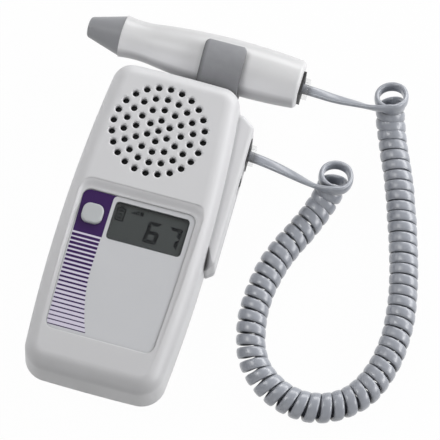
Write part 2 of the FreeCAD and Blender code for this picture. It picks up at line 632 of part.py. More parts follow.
def power_switch():
    x, y = switch_place()
    side, height = SWITCH_BODY
    low = MAIN_BOARD_Z + BOARD_T
    body = box(x - side / 2, x + side / 2, y - side / 2, y + side / 2, low, low + height)
    return body.cut(cylinder(PLUNGER[0] + CLEAR, (x, y, PLUNGER[1] - OVER), (0, 0, 1), 4 * OVER))


# ---- boards and what they carry ---------------------------------------------------------------------
def main_board():
    x0, y0, x1, y1 = MAIN_BOARD
    board = box(x0, x1, y0, y1, MAIN_BOARD_Z, MAIN_BOARD_Z + BOARD_T)
    board = board.makeFillet(BOARD_CORNER_R, upright_edges(board))
    low = MAIN_BOARD_Z - OVER
    return board.cut([cylinder(POST_HOLE_R, (x, y, low), (0, 0, 1), 4 * OVER) for x, y in BOARD_POSTS])


def board_chips():
    top = MAIN_BOARD_Z + BOARD_T
    solids = [box(x - a / 2, x + a / 2, y - b / 2, y + b / 2, top, top + h) for x, y, a, b, h in CHIPS]
    return Part.makeCompound(solids)


def board_capacitors():
    top = MAIN_BOARD_Z + BOARD_T
    return Part.makeCompound([cylinder(r, (x, y, top), (0, 0, 1), h) for x, y, r, h in CAPACITORS])


def side_board():
    x0, y0, x1, y1 = SIDE_BOARD
    return box(x0, x1, y0, y1, SIDE_BOARD_Z, SIDE_BOARD_Z + BOARD_T)


def board_link():
    """Flat cable between the side board and the main board."""
    outer, inner, end = LINK_X
    low = box(outer, inner, *LINK_Y, SIDE_BOARD_Z + BOARD_T, MAIN_BOARD_Z - LINK_T + CLEAR)
    high = box(outer, end, *LINK_Y, MAIN_BOARD_Z - LINK_T, MAIN_BOARD_Z)
    return low.fuse(high)


# ---- side sockets and volume wheel ----------------------------------------------------------------
def modular_jack(mouth_x, y, z):
    """Socket for a modular plug, opening to +X, with its face plate."""
    body, plate = JACK_BODY, JACK_PLATE
    block = box(mouth_x - body[0], mouth_x - plate[0] / 2, y - body[1] / 2, y + body[1] / 2,
                z - body[2] / 2, z + body[2] / 2)
    flange = box(mouth_x - plate[0], mouth_x, y - plate[1] / 2, y + plate[1] / 2, z - plate[2] / 2,
                 z + plate[2] / 2)
    back = mouth_x - (PLUG_BODY[0] - PLUG_PROUD + BURY)
    half_y, half_z = PLUG_BODY[1] / 2 + CLEAR, PLUG_BODY[2] / 2 + CLEAR
    room = box(back, mouth_x + OVER, y - half_y, y + half_y, z - half_z, z + half_z)
    latch_half, latch_top = LATCH_ROOM[0] / 2, z + half_z + LATCH_ROOM[1]
    latch = box(back, mouth_x + OVER, y - latch_half, y + latch_half, z + half_z - CLEAR, latch_top)
    return block.fuse(flange).cut([room, latch])


def modular_plug(mouth_x, y, z):
    """Clear plug seated in a socket whose mouth is at mouth_x."""
    x1 = mouth_x + PLUG_PROUD
    x0 = x1 - PLUG_BODY[0]
    half_y, half_z = PLUG_BODY[1] / 2, PLUG_BODY[2] / 2
    body = box(x0, x1, y - half_y, y + half_y, z - half_z, z + half_z)
    tab_half, tab_top = PLUG_TAB[0] / 2, z + half_z + PLUG_TAB[1]
    tab = box(x0 + TAB_ENDS[0], x1 - TAB_ENDS[1], y - tab_half, y + tab_half, z + half_z, tab_top)
    return body.fuse(tab)


def unit_mouth_x():
    return POD_FACE_X + JACK_PROUD


def probe_end_x():
    return NOSE_X + BODY_LENGTH


def probe_mouth_x():
    return probe_end_x() + JACK_PLATE[0]


def unit_jack():
    return modular_jack(unit_mouth_x(), JACK_Y, JACK_Z)


def unit_plug():
    return modular_plug(unit_mouth_x(), JACK_Y, JACK_Z)


def wheel_x():
    return POD_FACE_X + WHEEL_PROUD - WHEEL_R


def volume_wheel():
    rim = cylinder(WHEEL_R, (wheel_x(), WHEEL_Y, WHEEL_Z - WHEEL_T / 2), (0, 0, 1), WHEEL_T)
    foot = WHEEL_Z - WHEEL_T
    notches = []
    for k in range(WHEEL_NOTCHES):
        turn = math.tau * k / WHEEL_NOTCHES
        x = wheel_x() + WHEEL_R * math.cos(turn)
        y = WHEEL_Y + WHEEL_R * math.sin(turn)
        notches.append(cylinder(NOTCH_R, (x, y, foot), (0, 0, 1), 2 * WHEEL_T))
    shaft_hole = cylinder(POST_R + CLEAR / 2, (wheel_x(), WHEEL_Y, foot), (0, 0, 1), 2 * WHEEL_T)
    return rim.cut(notches + [shaft_hole])


def volume_pot():
    """Potentiometer body and the post that the wheel turns on."""
    low = SIDE_BOARD_Z + BOARD_T
    top = WHEEL_Z - WHEEL_T / 2 - 3 * CLEAR
    body = cylinder(POT_R, (wheel_x(), WHEEL_Y, low), (0, 0, 1), top - low)
    post = cylinder(POST_R, (wheel_x(), WHEEL_Y, top), (0, 0, 1), WHEEL_T + 6 * CLEAR)
    return body.fuse(post)


# ---- speaker ------------------------------------------------------------------------------------
def turned(profile):
    return revolve(profile, (*SPEAKER_XY, 0), (0, 0, 1), (1, 0, 0))


def speaker_cloth():
    low, top = CLOTH_Z
    radius = SPEAKER_R - 4 * CLEAR
    return turned([(low, 0), (low, radius), (top, radius), (top, 0)])


def speaker_basket():
    return turned(BASKET)


def speaker_cone():
    return turned(CONE)


def speaker_magnet():
    return turned(MAGNET)


# ---- battery ------------------------------------------------------------------------------------
def cell_row():
    """Place across the tray and direction of each cell."""
    return [(-CELL_PITCH, 1), (0, -1), (CELL_PITCH, 1)]


def cells():
    middle = (TRAY[1] + TRAY[2]) / 2
    nub_r, nub_length = CELL_NUB
    made = []
    for x, way in cell_row():
        start = (x, middle - way * CELL_LENGTH / 2, CELL_Z)
        can = cylinder(CELL_R, start, (0, way, 0), CELL_LENGTH)
        nub = cylinder(nub_r, (x, middle + way * CELL_LENGTH / 2, CELL_Z), (0, way, 0), nub_length)
        made.append(can.fuse(nub))
    return made


def battery_contacts():
    """Sprung and flat contact plates at the two ends of the tray."""
    plates = []
    low, high = TRAY[1], TRAY[2]
    middle = (low + high) / 2
    thickness = CONTACT[1]
    wide, narrow, wall = SPRING
    for x, way in cell_row():
        flat, sprung = (high, low) if way > 0 else (low, high)
        plates.append(contact_plate(x, flat, -way))
        gap = abs(sprung - (middle - way * CELL_LENGTH / 2))
        foot, along = V(x, sprung + way * thickness, CELL_Z), V(0, way, 0)
        coil = Part.makeCone(wide, narrow, gap - thickness, foot, along)
        core = Part.makeCone(wide - wall, narrow - wall, gap, foot, along)
        plates.append(contact_plate(x, sprung, way).fuse(coil.cut(core)))
    return Part.makeCompound(plates)


def contact_plate(x, wall_y, way):
    half, thickness, low, high = CONTACT
    y = sorted((wall_y, wall_y + way * thickness))
    return box(x - half, x + half, y[0], y[1], low, high)


def battery_door():
    top = DOOR_Z + DOOR_T
    plate = box(-DOOR_HALF, DOOR_HALF, DOOR_Y[0], DOOR_Y[1], DOOR_Z, top)
    reach, low, end = TONGUE
    tongues = []
    for x in (-DOOR_HALF, DOOR_HALF):
        tongues.append(box(x - reach, x + reach, DOOR_Y[0] + end, DOOR_Y[1], low, top))
    door = plate.fuse(tongues)
    keep = case_block(CLEAR / 2, 0, CASE_THICKNESS, 0, BACK_EDGE_R)
    half, first, width, pitch = GRIP
    grip = []
    for k in range(GRIP_COUNT):
        y = first - pitch * k
        grip.append(box(-half, half, y, y + width, DOOR_Z - CLEAR, DOOR_Z + GRIP_DEPTH))
    return door.common(keep).cut(grip)


# ---- probe clip ---------------------------------------------------------------------------------
def polar(r, degrees):
    """A point at an angle past the probe's crest, as (y, z) about the probe's axis."""
    turn = math.radians(degrees)
    return PROBE_Y + r * math.sin(turn), PROBE_Z + r * math.cos(turn)


def clip_side():
    """Outline of the clip seen along the probe, for the half in front of the probe's axis."""
    x = CLIP_X - CLIP_WIDTH / 2
    tip_y, tip_z = polar(CLIP_OUTER_R, CLIP_TIP_DEG)
    crease_y, crease_z = polar(CLIP_OUTER_R, CLIP_CREASE_DEG)
    crown_y, crown_z = polar(CLIP_OUTER_R, (CLIP_TIP_DEG + CLIP_CREASE_DEG) / 2)
    seat_y, seat_z = polar(CLIP_SEAT_R, -45)
    base_z = PROBE_Z + CLIP_BASE_HALF
    inner_z = PROBE_Z + CLIP_SEAT_R
    back_y = PROBE_Y - CLIP_SEAT_R
    edges = [line((x, back_y, PROBE_Z), (x, CLIP_BASE_Y, PROBE_Z)),
             line((x, CLIP_BASE_Y, PROBE_Z), (x, CLIP_BASE_Y, base_z)),
             line((x, CLIP_BASE_Y, base_z), (x, crease_y, crease_z)),
             arc((x, crease_y, crease_z), (x, crown_y, crown_z), (x, tip_y, tip_z)),
             line((x, tip_y, tip_z), (x, tip_y + CLIP_TIP_RUN, inner_z)),
             line((x, tip_y + CLIP_TIP_RUN, inner_z), (x, PROBE_Y, inner_z)),
             arc((x, PROBE_Y, inner_z), (x, seat_y, seat_z), (x, back_y, PROBE_Z))]
    return Part.Face(Part.Wire(edges)).extrude(V(CLIP_WIDTH, 0, 0))


def clip_screw_places():
    return [(CLIP_X - CLIP_SCREW_X, PROBE_Z), (CLIP_X + CLIP_SCREW_X, PROBE_Z)]


def clip_screw_holes():
    start = CLIP_SCREW_FROM_Y
    return [cylinder(SCREW_R + CLEAR, (x, start, z), (0, 1, 0), FAR_R) for x, z in clip_screw_places()]


def clip_screw_seat():
    return PROBE_Y - CLIP_SEAT_R - CLIP_SCREW_SINK


def probe_clip():
    front = clip_side()
    clip = front.fuse(front.mirror(V(0, 0, PROBE_Z), V(0, 0, 1))).removeSplitter()
    tip_y = polar(CLIP_OUTER_R, CLIP_TIP_DEG)[0] + CLIP_TIP_RUN
    length = 2 * CLIP_OUTER_R + FAR_R
    plan = round_box((CLIP_WIDTH, length), (CLIP_X, tip_y - length / 2), CLIP_CORNER_R, 0, CASE_THICKNESS)
    clip = clip.common(plan)
    body = case_block(-CLEAR / 2, 0, CASE_THICKNESS, FRONT_EDGE_R, BACK_EDGE_R)
    clip = clip.cut(body)
    cuts = clip_screw_holes()
    for x, z in clip_screw_places():
        cuts.append(cylinder(SCREW_HEAD_R + CLEAR, (x, clip_screw_seat(), z), (0, 1, 0), 6 * OVER))
    return clip.cut(cuts)


def clip_screws():
    screws = []
    head_length, shank_length = CLIP_SCREW
    for x, z in clip_screw_places():
        head = cylinder(SCREW_HEAD_R, (x, clip_screw_seat(), z), (0, 1, 0), head_length)
        shank = cylinder(SCREW_R, (x, clip_screw_seat(), z), (0, -1, 0), shank_length)
        screws.append(head.fuse(shank))
    return Part.makeCompound(screws)


# ---- probe ----------------------------------------------------------------------------------------
def about_probe(points):
    return revolve(points, (NOSE_X, PROBE_Y, PROBE_Z), (1, 0, 0), (0, 0, 1))


def body_form(shrink, start, end):
    """The waisted and swelling probe body, shrunk by a wall thickness, between two distances."""
    def at(point):
        return NOSE_X + point[0], PROBE_Y, PROBE_Z + point[1] - shrink

    first, last = at(BODY_WAIST[0]), at(BODY_SWELL[-1])
    foot_a, foot_b = (first[0], PROBE_Y, PROBE_Z), (last[0], PROBE_Y, PROBE_Z)
    edges = [arc(*map(at, BODY_WAIST)), arc(*map(at, BODY_SWELL)), line(last, foot_b),
             line(foot_b, foot_a), line(foot_a, first)]
    form = Part.Face(Part.Wire(edges)).revolve(V(*foot_a), V(1, 0, 0), 360)
    keep = cylinder(FAR_R, (NOSE_X + start, PROBE_Y, PROBE_Z), (1, 0, 0), end - start)
    return form.common(keep)


def probe_body():
    s_end, r_end = BODY_SWELL[-1]
    rim = (NOSE_X + s_end, PROBE_Y, PROBE_Z + r_end)
    shoulder = (probe_end_x() - BODY_SHOULDER[0], PROBE_Y, PROBE_Z + r_end - BODY_SHOULDER[1])
    face = (probe_end_x(), PROBE_Y, PROBE_Z + BODY_END_R)
    foot_a, foot_b = (rim[0], PROBE_Y, PROBE_Z), (face[0], PROBE_Y, PROBE_Z)
    edges = [arc(rim, shoulder, face), line(face, foot_b), line(foot_b, foot_a), line(foot_a, rim)]
    cap = Part.Face(Part.Wire(edges)).revolve(V(*foot_a), V(1, 0, 0), 360)
    outside = body_form(0, 0, s_end).fuse(cap)
    inside = body_form(BODY_WALL, BODY_BORE_ENDS[0], s_end - BODY_BORE_ENDS[1])
    end, radius = SPIGOT[0] + CLEAR, SPIGOT[1] + CLEAR
    spigot_room = about_probe([(-OVER, 0), (-OVER, radius), (end, radius), (end, 0)])
    tube = outside.cut([inside, spigot_room])
    half_y, half_z = JACK_BODY[1] / 2 + CLEAR, JACK_BODY[2] / 2 + CLEAR
    y = PROBE_Y + PROBE_JACK_OFFSET
    mouth = box(probe_end_x() - 6 * OVER, probe_end_x() + OVER, y - half_y, y + half_y, PROBE_Z - half_z,
                PROBE_Z + half_z)
    return on_probe(tube.cut(mouth))


def probe_nose():
    tip = -NOSE_LENGTH
    length, outer, inner = SPIGOT
    profile = [(tip + s, r) for s, r in NOSE_TIP]
    outside = about_probe(profile + [(0, NOSE_JOINT_R), (0, outer), (length, outer), (length, 0)])
    start, radius = NOSE_ROOM
    room = about_probe([(tip + start, 0), (tip + start, radius), (-OVER, inner), (length + ROOM, inner),
                        (length + ROOM, 0)])
    low, seat = tip + CRYSTAL[0], CRYSTAL[2] + CLEAR
    high = tip + start + CLEAR
    face_room = about_probe([(low, 0), (low, seat), (high, seat), (high, 0)])
    return on_probe(outside.cut([room, face_room]))


def face_disc(low, thickness, radius):
    """A disc behind the probe's face, at a distance from the tip."""
    start = low - NOSE_LENGTH
    return about_probe([(start, 0), (start, radius), (start + thickness, radius), (start + thickness, 0)])


def crystal(side):
    """One half-disc piezo crystal behind the probe's face."""
    half = box(-FAR_Y, FAR_Y, PROBE_Y + CRYSTAL_GAP, PROBE_Y + FAR_R, PROBE_Z - FAR_R,
               PROBE_Z + FAR_R)
    if side < 0:
        half = half.mirror(V(0, PROBE_Y, 0), V(0, 1, 0))
    return on_probe(face_disc(*CRYSTAL).common(half))


def crystal_backing():
    low, thickness, radius = CRYSTAL
    return on_probe(face_disc(low + thickness, BACKING_T, radius))


def probe_board():
    start, end, half, low, high = PROBE_BOARD
    return on_probe(box(NOSE_X + start, NOSE_X + end, PROBE_Y - half, PROBE_Y + half, PROBE_Z + low,
                        PROBE_Z + high))


def probe_chips():
    top = PROBE_Z + PROBE_BOARD[4]
    made = []
    for s, a, b, h in PROBE_CHIPS:
        x = NOSE_X + s
        made.append(box(x, x + a, PROBE_Y - b / 2, PROBE_Y + b / 2, top, top + h))
    return on_probe(Part.makeCompound(made))


def probe_jack():
    return on_probe(modular_jack(probe_mouth_x(), PROBE_Y + PROBE_JACK_OFFSET, PROBE_Z))


def probe_plug():
    return on_probe(modular_plug(probe_mouth_x(), PROBE_Y + PROBE_JACK_OFFSET, PROBE_Z))


# ---- cord -------------------------------------------------------------------------------------------
def corner_arc(before, corner, after):
    """Start, middle, end and radius of the arc that rounds one corner of a route."""
    a, c, b = V(*before), V(*corner), V(*after)
    back, on = (a - c), (b - c)
    shorter = min(back.Length, on.Length)
    u, w = back.normalize(), on.normalize()
    turn = math.pi - u.getAngle(w)
    reach = BEND_SHARE * shorter
    radius = reach / math.tan(turn / 2)
    to_middle = (u + w).normalize()
    middle = c + to_middle * (radius / math.cos(turn / 2) - radius)
    return c + u * reach, middle, c + w * reach, radius


def cord_path(route, name):
    """Straight runs joined by tangent arcs, and the length along them."""
    edges, at, radii = [], V(*route[0]), []
    for i in range(1, len(route) - 1):
        start, middle, end, radius = corner_arc(route[i - 1], route[i], route[i + 1])
        edges.append(Part.LineSegment(at, start).toShape())
        edges.append(Part.Arc(start, middle, end).toShape())
        radii.append(radius)
        at = end
    edges.append(Part.LineSegment(at, V(*route[-1])).toShape())
    wire = Part.Wire(edges)
    print(name, "radii", [round(r, 1) for r in radii], "length", round(wire.Length, 1))
    return wire


def cord_tube(route, radius, name):
    wire = cord_path(route, name)
    start = V(*route[0])
    along = (V(*route[1]) - start).normalize()
    ring = Part.Wire(Part.Circle(start, along, radius).toShape())
    tube = wire.makePipeShell([ring], True, False)
    expected = math.pi * radius ** 2 * wire.Length
    print(name, "volume over section times length", round(tube.Volume / expected, 4), tube.isValid())
    return tube


# ---- write every node -------------------------------------------------------------------------------
def main():
    hollow = hollow_case()
    nodes = {"front_shell": front_shell(hollow), "back_shell": back_shell(hollow),
             "case_screws": case_screws(), "label_overlay": label(), "lcd_window": lcd_window(),
             "lcd_module": lcd_module(), "lcd_frame": lcd_frame(), "zebra_strips": zebra_strips(),
             "power_button": power_button(), "switch_plunger": switch_plunger(),
             "power_switch": power_switch(), "main_board": main_board(), "board_chips": board_chips(),
             "board_capacitors": board_capacitors(), "side_board": side_board(),
             "board_link": board_link(), "unit_jack": unit_jack(), "unit_plug": unit_plug(),
             "volume_wheel": volume_wheel(), "volume_pot": volume_pot(),
             "speaker_cloth": speaker_cloth(), "speaker_basket": speaker_basket(),
             "speaker_cone": speaker_cone(), "speaker_magnet": speaker_magnet(),
             "battery_contacts": battery_contacts(), "battery_door": battery_door(),
             "probe_clip": probe_clip(), "clip_screws": clip_screws(), "probe_body": probe_body(),
             "probe_nose": probe_nose(), "crystal_transmit": crystal(1), "crystal_receive": crystal(-1),
             "crystal_backing": crystal_backing(), "probe_board": probe_board(),
             "probe_chips": probe_chips(), "probe_jack": probe_jack(), "probe_plug": probe_plug(),
             "cord_unit_lead": cord_tube(UNIT_LEAD, CORD_WIDTH / 2, "unit lead"),
             "cord_coil": cord_tube(COIL_ROUTE, COIL_R, "coil"),
             "cord_probe_lead": cord_tube(PROBE_LEAD, CORD_WIDTH / 2, "probe lead")}
    for number, cell in enumerate(cells(), start=1):
        nodes[f"battery_cell_{number}"] = cell
    os.makedirs("parts", exist_ok=True)
    for name, shape in nodes.items():
        shape.exportStep(f"parts/{name}.step")
        print(name, "solids", len(shape.Solids), "valid", shape.isValid(), "volume", round(shape.Volume, 1))


main()
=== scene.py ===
import bpy
import math
import random
from bisect import bisect_left
from mathutils import Matrix, Quaternion, Vector


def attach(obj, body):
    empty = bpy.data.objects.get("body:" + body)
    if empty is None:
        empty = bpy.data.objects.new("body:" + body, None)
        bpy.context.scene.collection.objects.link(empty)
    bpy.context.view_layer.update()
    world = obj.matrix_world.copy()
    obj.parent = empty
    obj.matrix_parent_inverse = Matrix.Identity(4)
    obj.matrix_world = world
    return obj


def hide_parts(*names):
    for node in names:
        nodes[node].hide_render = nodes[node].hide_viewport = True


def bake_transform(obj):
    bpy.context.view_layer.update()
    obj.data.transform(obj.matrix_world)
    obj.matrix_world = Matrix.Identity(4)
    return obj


# Looks of the hand-held doppler: curly cord, materials, printed label, display digits and stage.
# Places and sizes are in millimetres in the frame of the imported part, where no other unit is named.

MM = 0.001
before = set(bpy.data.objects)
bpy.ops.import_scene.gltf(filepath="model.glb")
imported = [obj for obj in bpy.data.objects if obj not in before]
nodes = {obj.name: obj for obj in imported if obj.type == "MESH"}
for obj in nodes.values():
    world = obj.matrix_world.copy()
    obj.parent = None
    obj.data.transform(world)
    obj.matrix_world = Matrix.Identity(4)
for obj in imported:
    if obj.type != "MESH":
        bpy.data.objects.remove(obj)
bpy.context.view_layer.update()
scene = bpy.context.scene
random.seed(7)


def link(obj):
    scene.collection.objects.link(obj)
    return obj


# ---- camera --------------------------------------------------------------------------------------
CAMERA_PLACE = Vector((98.4, -264.8, 831.7)) * MM
CAMERA_RIGHT = Vector((0.964, 0.2657, 0.0143))
CAMERA_DOWN = Vector((0.2551, -0.9079, -0.3327))
CAMERA_RANGE = (0.05, 20.0)     # nearest and farthest drawn, in metres
SENSOR = 36.0
FOCAL_PIXELS = 2000.0
FRAME_PIXELS = 440.0


def make_camera():
    data = bpy.data.cameras.new("camera")
    data.sensor_width = SENSOR
    data.lens = SENSOR * FOCAL_PIXELS / FRAME_PIXELS
    data.clip_start, data.clip_end = CAMERA_RANGE
    camera = link(bpy.data.objects.new("camera", data))
    right = CAMERA_RIGHT.normalized()
    back = right.cross(-CAMERA_DOWN).normalized()
    up = back.cross(right)
    turn = Matrix((right, up, back)).transposed().to_4x4()
    camera.matrix_world = Matrix.Translation(CAMERA_PLACE) @ turn
    scene.camera = camera


make_camera()

# ---- cord ----------------------------------------------------------------------------------------
UNIT_LEAD = [(37.0, 48.4, 14.4), (42.5, 47.9, 14.4), (50.5, 46.3, 15.2), (58.5, 43.9, 17.0),
             (66.3, 41.0, 19.6), (72.6, 39.6, 21.5), (78.0, 39.8, 22.7)]
PROBE_LEAD = [(51.0, 85.2, 16.0), (56.5, 85.0, 16.0), (67.4, 83.6, 17.4), (77.2, 82.9, 19.8),
              (85.7, 82.0, 21.9), (91.5, 83.2, 23.2)]
COIL_ROUTE = [(90.4, 91.2, 20.7), (91.0, 89.5, 15.9), (92.1, 86.6, 11.8), (93.5, 82.7, 8.8),
              (95.3, 78.2, 7.1), (98.6, 69.5, 6.7), (103.2, 59.0, 6.7), (108.2, 43.5, 6.7),
              (112.8, 28.5, 6.7), (117.0, 12.0, 6.7), (119.6, -5.5, 6.7), (118.5, -24.0, 6.7),
              (111.5, -42.0, 6.7), (96.0, -52.5, 6.7), (78.0, -51.5, 6.7), (63.0, -41.0, 6.7),
              (57.4, -23.0, 6.7), (57.6, -6.0, 6.7), (61.2, 9.8, 6.7), (69.2, 26.2, 6.7),
              (72.6, 35.2, 7.0), (74.3, 39.8, 8.7), (75.5, 43.8, 11.8), (76.2, 46.8, 15.9),
              (76.2, 48.6, 20.6)]
CURVE_FINENESS = 24             # points read from a route's curve for each of its spans
COIL_STEP = 0.2                 # spacing of the points along the coil's axis and along a lead
LEAD_STEP = 0.8
CORD_WIDTH = 4.7
CORD_THICKNESS = 2.3
SECTION_POWER = 2.7             # how square the cord's section is
SECTION_STEPS = 18
TURN_STEPS = 40
RADII = [(0.0, 8.6), (0.3, 6.5), (0.8, 6.0), (1.5, 5.3)]            # turns from an end, winding radius
END_PITCH = [(0.0, 2.8), (5.0, 7.4), (12.0, 5.25)]                  # distance from an end, mm per turn
PITCH = [(0.0, 5.25), (0.46, 5.25), (0.6, 5.05), (0.72, 4.8), (0.88, 4.8), (1.0, 5.4)]
STRAY_RADIUS = 0.12             # how far single turns stray from the plain winding
STRAY_ALONG = 0.12
EVEN_TURNS = 1.0                # turns at each end that don't stray
STRAY_SET_IN = 1.5              # turns after those over which straying grows to its full size
JOIN_TURN = 0.35                # part of a turn over which the winding runs out into a lead
LATE_TWIST = 0.2                # how far a lead's turning lags on the way, as a share of its twist


def curve_points(route):
    """Points read from the smooth curve that a route controls, in metres."""
    data = bpy.data.curves.new("route", "CURVE")
    data.dimensions = "3D"
    data.resolution_u = CURVE_FINENESS
    spline = data.splines.new("NURBS")
    spline.points.add(len(route) - 1)
    for point, place in zip(spline.points, route):
        point.co = (*(v * MM for v in place), 1.0)
    spline.order_u = 3
    spline.use_endpoint_u = True
    carrier = link(bpy.data.objects.new("route", data))
    mesh = bpy.data.meshes.new_from_object(carrier)
    points = [v.co.copy() for v in mesh.vertices]
    bpy.data.objects.remove(carrier)
    bpy.data.meshes.remove(mesh)
    return points


def place_in(steps, value):
    """The step of a rising list that holds a value, and the share of that step passed before it."""
    k = min(bisect_left(steps, value, 1) - 1, len(steps) - 2)
    return k, (value - steps[k]) / (steps[k + 1] - steps[k])


def evenly(points, step):
    """A line's points moved to equal steps along it, and its length."""
    runs = [0.0]
    for a, b in zip(points, points[1:]):
        runs.append(runs[-1] + (b - a).length)
    length = runs[-1]
    count = int(length / (step * MM))
    even = []
    for i in range(count + 1):
        k, share = place_in(runs, length * i / count)
        even.append(points[k].lerp(points[k + 1], share))
    return even, length


def tangents(points):
    last = len(points) - 1
    return [(points[min(i + 1, last)] - points[max(i - 1, 0)]).normalized() for i in range(last + 1)]


def carried(points, first):
    """A side direction carried along a line without twist, and the line's tangents."""
    along = tangents(points)
    side = (first - along[0] * first.dot(along[0])).normalized()
    sides = [side]
    for a, b in zip(along, along[1:]):
        side = a.rotation_difference(b) @ side
        side = (side - b * side.dot(b)).normalized()
        sides.append(side)
    return sides, along


def smooth(t):
    t = min(1.0, max(0.0, t))
    return t * t * (3 - 2 * t)


def between(table, at):
    """A value read from a table of (place, value) pairs, with soft steps between them."""
    for (a, low), (b, high) in zip(table, table[1:]):
        if at <= b:
            return low + (high - low) * smooth((at - a) / (b - a))
    return table[-1][1]


def turns_along(length, step):
    """Turns wound up to each step along the coil's axis, closer or wider by the pitch tables."""
    turns = [0.0]
    for k in range(round(length / step)):
        along = (k + 0.5) * step
        from_end = min(along, length - along) / MM
        near_end = from_end < END_PITCH[-1][0]
        pitch = between(END_PITCH, from_end) if near_end else between(PITCH, along / length)
        turns.append(turns[-1] + step / (pitch * MM))
    return turns


def wound_part(start_lead, end_lead):
    """Points of the wound cord, their outward directions and the turns, from the unit to the probe."""
    centres, length = evenly(curve_points(list(reversed(COIL_ROUTE))), COIL_STEP)
    sides, along = carried(centres, start_lead[-1] - centres[0])
    crosses = [s.cross(a) for s, a in zip(sides, along)]
    wound = turns_along(length, length / (len(centres) - 1))
    # the turns are stretched a little, so that the winding ends on the side of the probe's lead
    last = (end_lead[-1] - centres[-1]).normalized()
    end_turn = math.atan2(last.dot(crosses[-1]), last.dot(sides[-1])) / math.tau % 1.0
    turns = round(wound[-1] - end_turn) + end_turn
    wound = [w * turns / wound[-1] for w in wound]
    # how far each turn strays outward and along the axis
    stray = [(random.uniform(-1, 1), random.uniform(-1, 1)) for _ in range(int(turns) + 2)]
    count = int(turns * TURN_STEPS)
    places = [turns * i / count for i in range(count + 1)]
    points, outward = [], []
    for turn in places:
        k, part = place_in(wound, turn)
        n = int(turn)
        ease = smooth(turn - n)
        wide, shift = (a + (b - a) * ease for a, b in zip(stray[n], stray[n + 1]))
        from_end = min(turn, turns - turn)
        set_in = smooth((from_end - EVEN_TURNS) / STRAY_SET_IN)
        centre = centres[k].lerp(centres[k + 1], part) + along[k] * (STRAY_ALONG * shift * set_in * MM)
        side = sides[k].lerp(sides[k + 1], part)
        cross = crosses[k].lerp(crosses[k + 1], part)
        angle = math.tau * turn
        radial = (side * math.cos(angle) + cross * math.sin(angle)).normalized()
        radius = between(RADII, from_end) + STRAY_RADIUS * wide * set_in
        points.append(centre + radial * radius * MM)
        outward.append(radial)
    # each end is drawn onto its lead
    start_gap, end_gap = start_lead[-1] - points[0], end_lead[-1] - points[-1]
    for i, turn in enumerate(places):
        points[i] += start_gap * (1 - smooth(turn / JOIN_TURN))
        points[i] += end_gap * (1 - smooth((turns - turn) / JOIN_TURN))
    return points, outward, turns


def lead_faces(points, at_ring):
    """Thin directions along a lead: flat side up at the plug, turned to the winding's at the ring."""
    sides, along = carried(points, Vector((0, 0, 1)))
    side = sides[-1]
    twist = math.atan2(along[-1].dot(side.cross(at_ring)), side.dot(at_ring))
    if abs(twist) > math.pi / 2:
        twist -= math.copysign(math.pi, twist)
    # of the two ways round, the one that leans the upper face towards +Y half-way along
    middle = len(points) // 2
    if (Quaternion(along[middle], twist / 2) @ sides[middle]).y < 0:
        twist -= math.copysign(math.pi, twist)
    faces = []
    for i, (direction, a) in enumerate(zip(sides, along)):
        share = i / (len(points) - 1)
        faces.append(Quaternion(a, twist * (share - LATE_TWIST * math.sin(math.pi * share))) @ direction)
    return faces


def cord_section():
    """Points round the cord's section, across its width and through its thickness, in metres."""
    power = 2 / SECTION_POWER
    points = []
    for k in range(SECTION_STEPS):
        a = math.tau * k / SECTION_STEPS
        c, s = math.cos(a), math.sin(a)
        points.append((math.copysign(abs(c) ** power, c) * CORD_WIDTH / 2 * MM,
                       math.copysign(abs(s) ** power, s) * CORD_THICKNESS / 2 * MM))
    return points


def cord_mesh(path, thin):
    """The cord's section carried along a path, its thickness along the thin directions."""
    section = cord_section()
    verts, faces = [], []
    for p, t, d in zip(path, tangents(path), thin):
        d = (d - t * d.dot(t)).normalized()
        w = t.cross(d)
        verts += [p + w * x + d * y for x, y in section]
    n = SECTION_STEPS
    for i in range(len(path) - 1):
        for k in range(n):
            a, b = i * n + k, i * n + (k + 1) % n
            faces.append((a, b, b + n, a + n))
    faces.append(tuple(reversed(range(n))))
    faces.append(tuple(range(len(verts) - n, len(verts))))
    mesh = bpy.data.meshes.new("curly_cord")
    mesh.from_pydata([tuple(v) for v in verts], [], faces)
    mesh.polygons.foreach_set("use_smooth", [True] * len(mesh.polygons))
    mesh.update()
    return mesh


def flat_cord():
    """The whole cord as one piece, with its path and its length in metres."""
    unit_lead = evenly(curve_points(UNIT_LEAD), LEAD_STEP)[0]
    probe_lead = evenly(curve_points(PROBE_LEAD), LEAD_STEP)[0]
    wound, outward, turns = wound_part(unit_lead, probe_lead)
    unit_faces = lead_faces(unit_lead, outward[0])
    probe_faces = lead_faces(probe_lead, outward[-1])
    path = unit_lead[:-1] + wound + list(reversed(probe_lead[:-1]))
    thin = unit_faces[:-1] + outward + list(reversed(probe_faces[:-1]))
    # a thin direction and its opposite are the same, so each one follows the one before it
    for i in range(1, len(thin)):
        if thin[i].dot(thin[i - 1]) < 0:
            thin[i] = -thin[i]
    length = sum((b - a).length for a, b in zip(path, path[1:]))
    print("cord turns", round(turns, 2), "length", round(length, 3))
    return link(bpy.data.objects.new("curly_cord", cord_mesh(path, thin))), path, length


cord, cord_path, cord_length = flat_cord()
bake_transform(cord)
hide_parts("cord_unit_lead", "cord_coil", "cord_probe_lead")

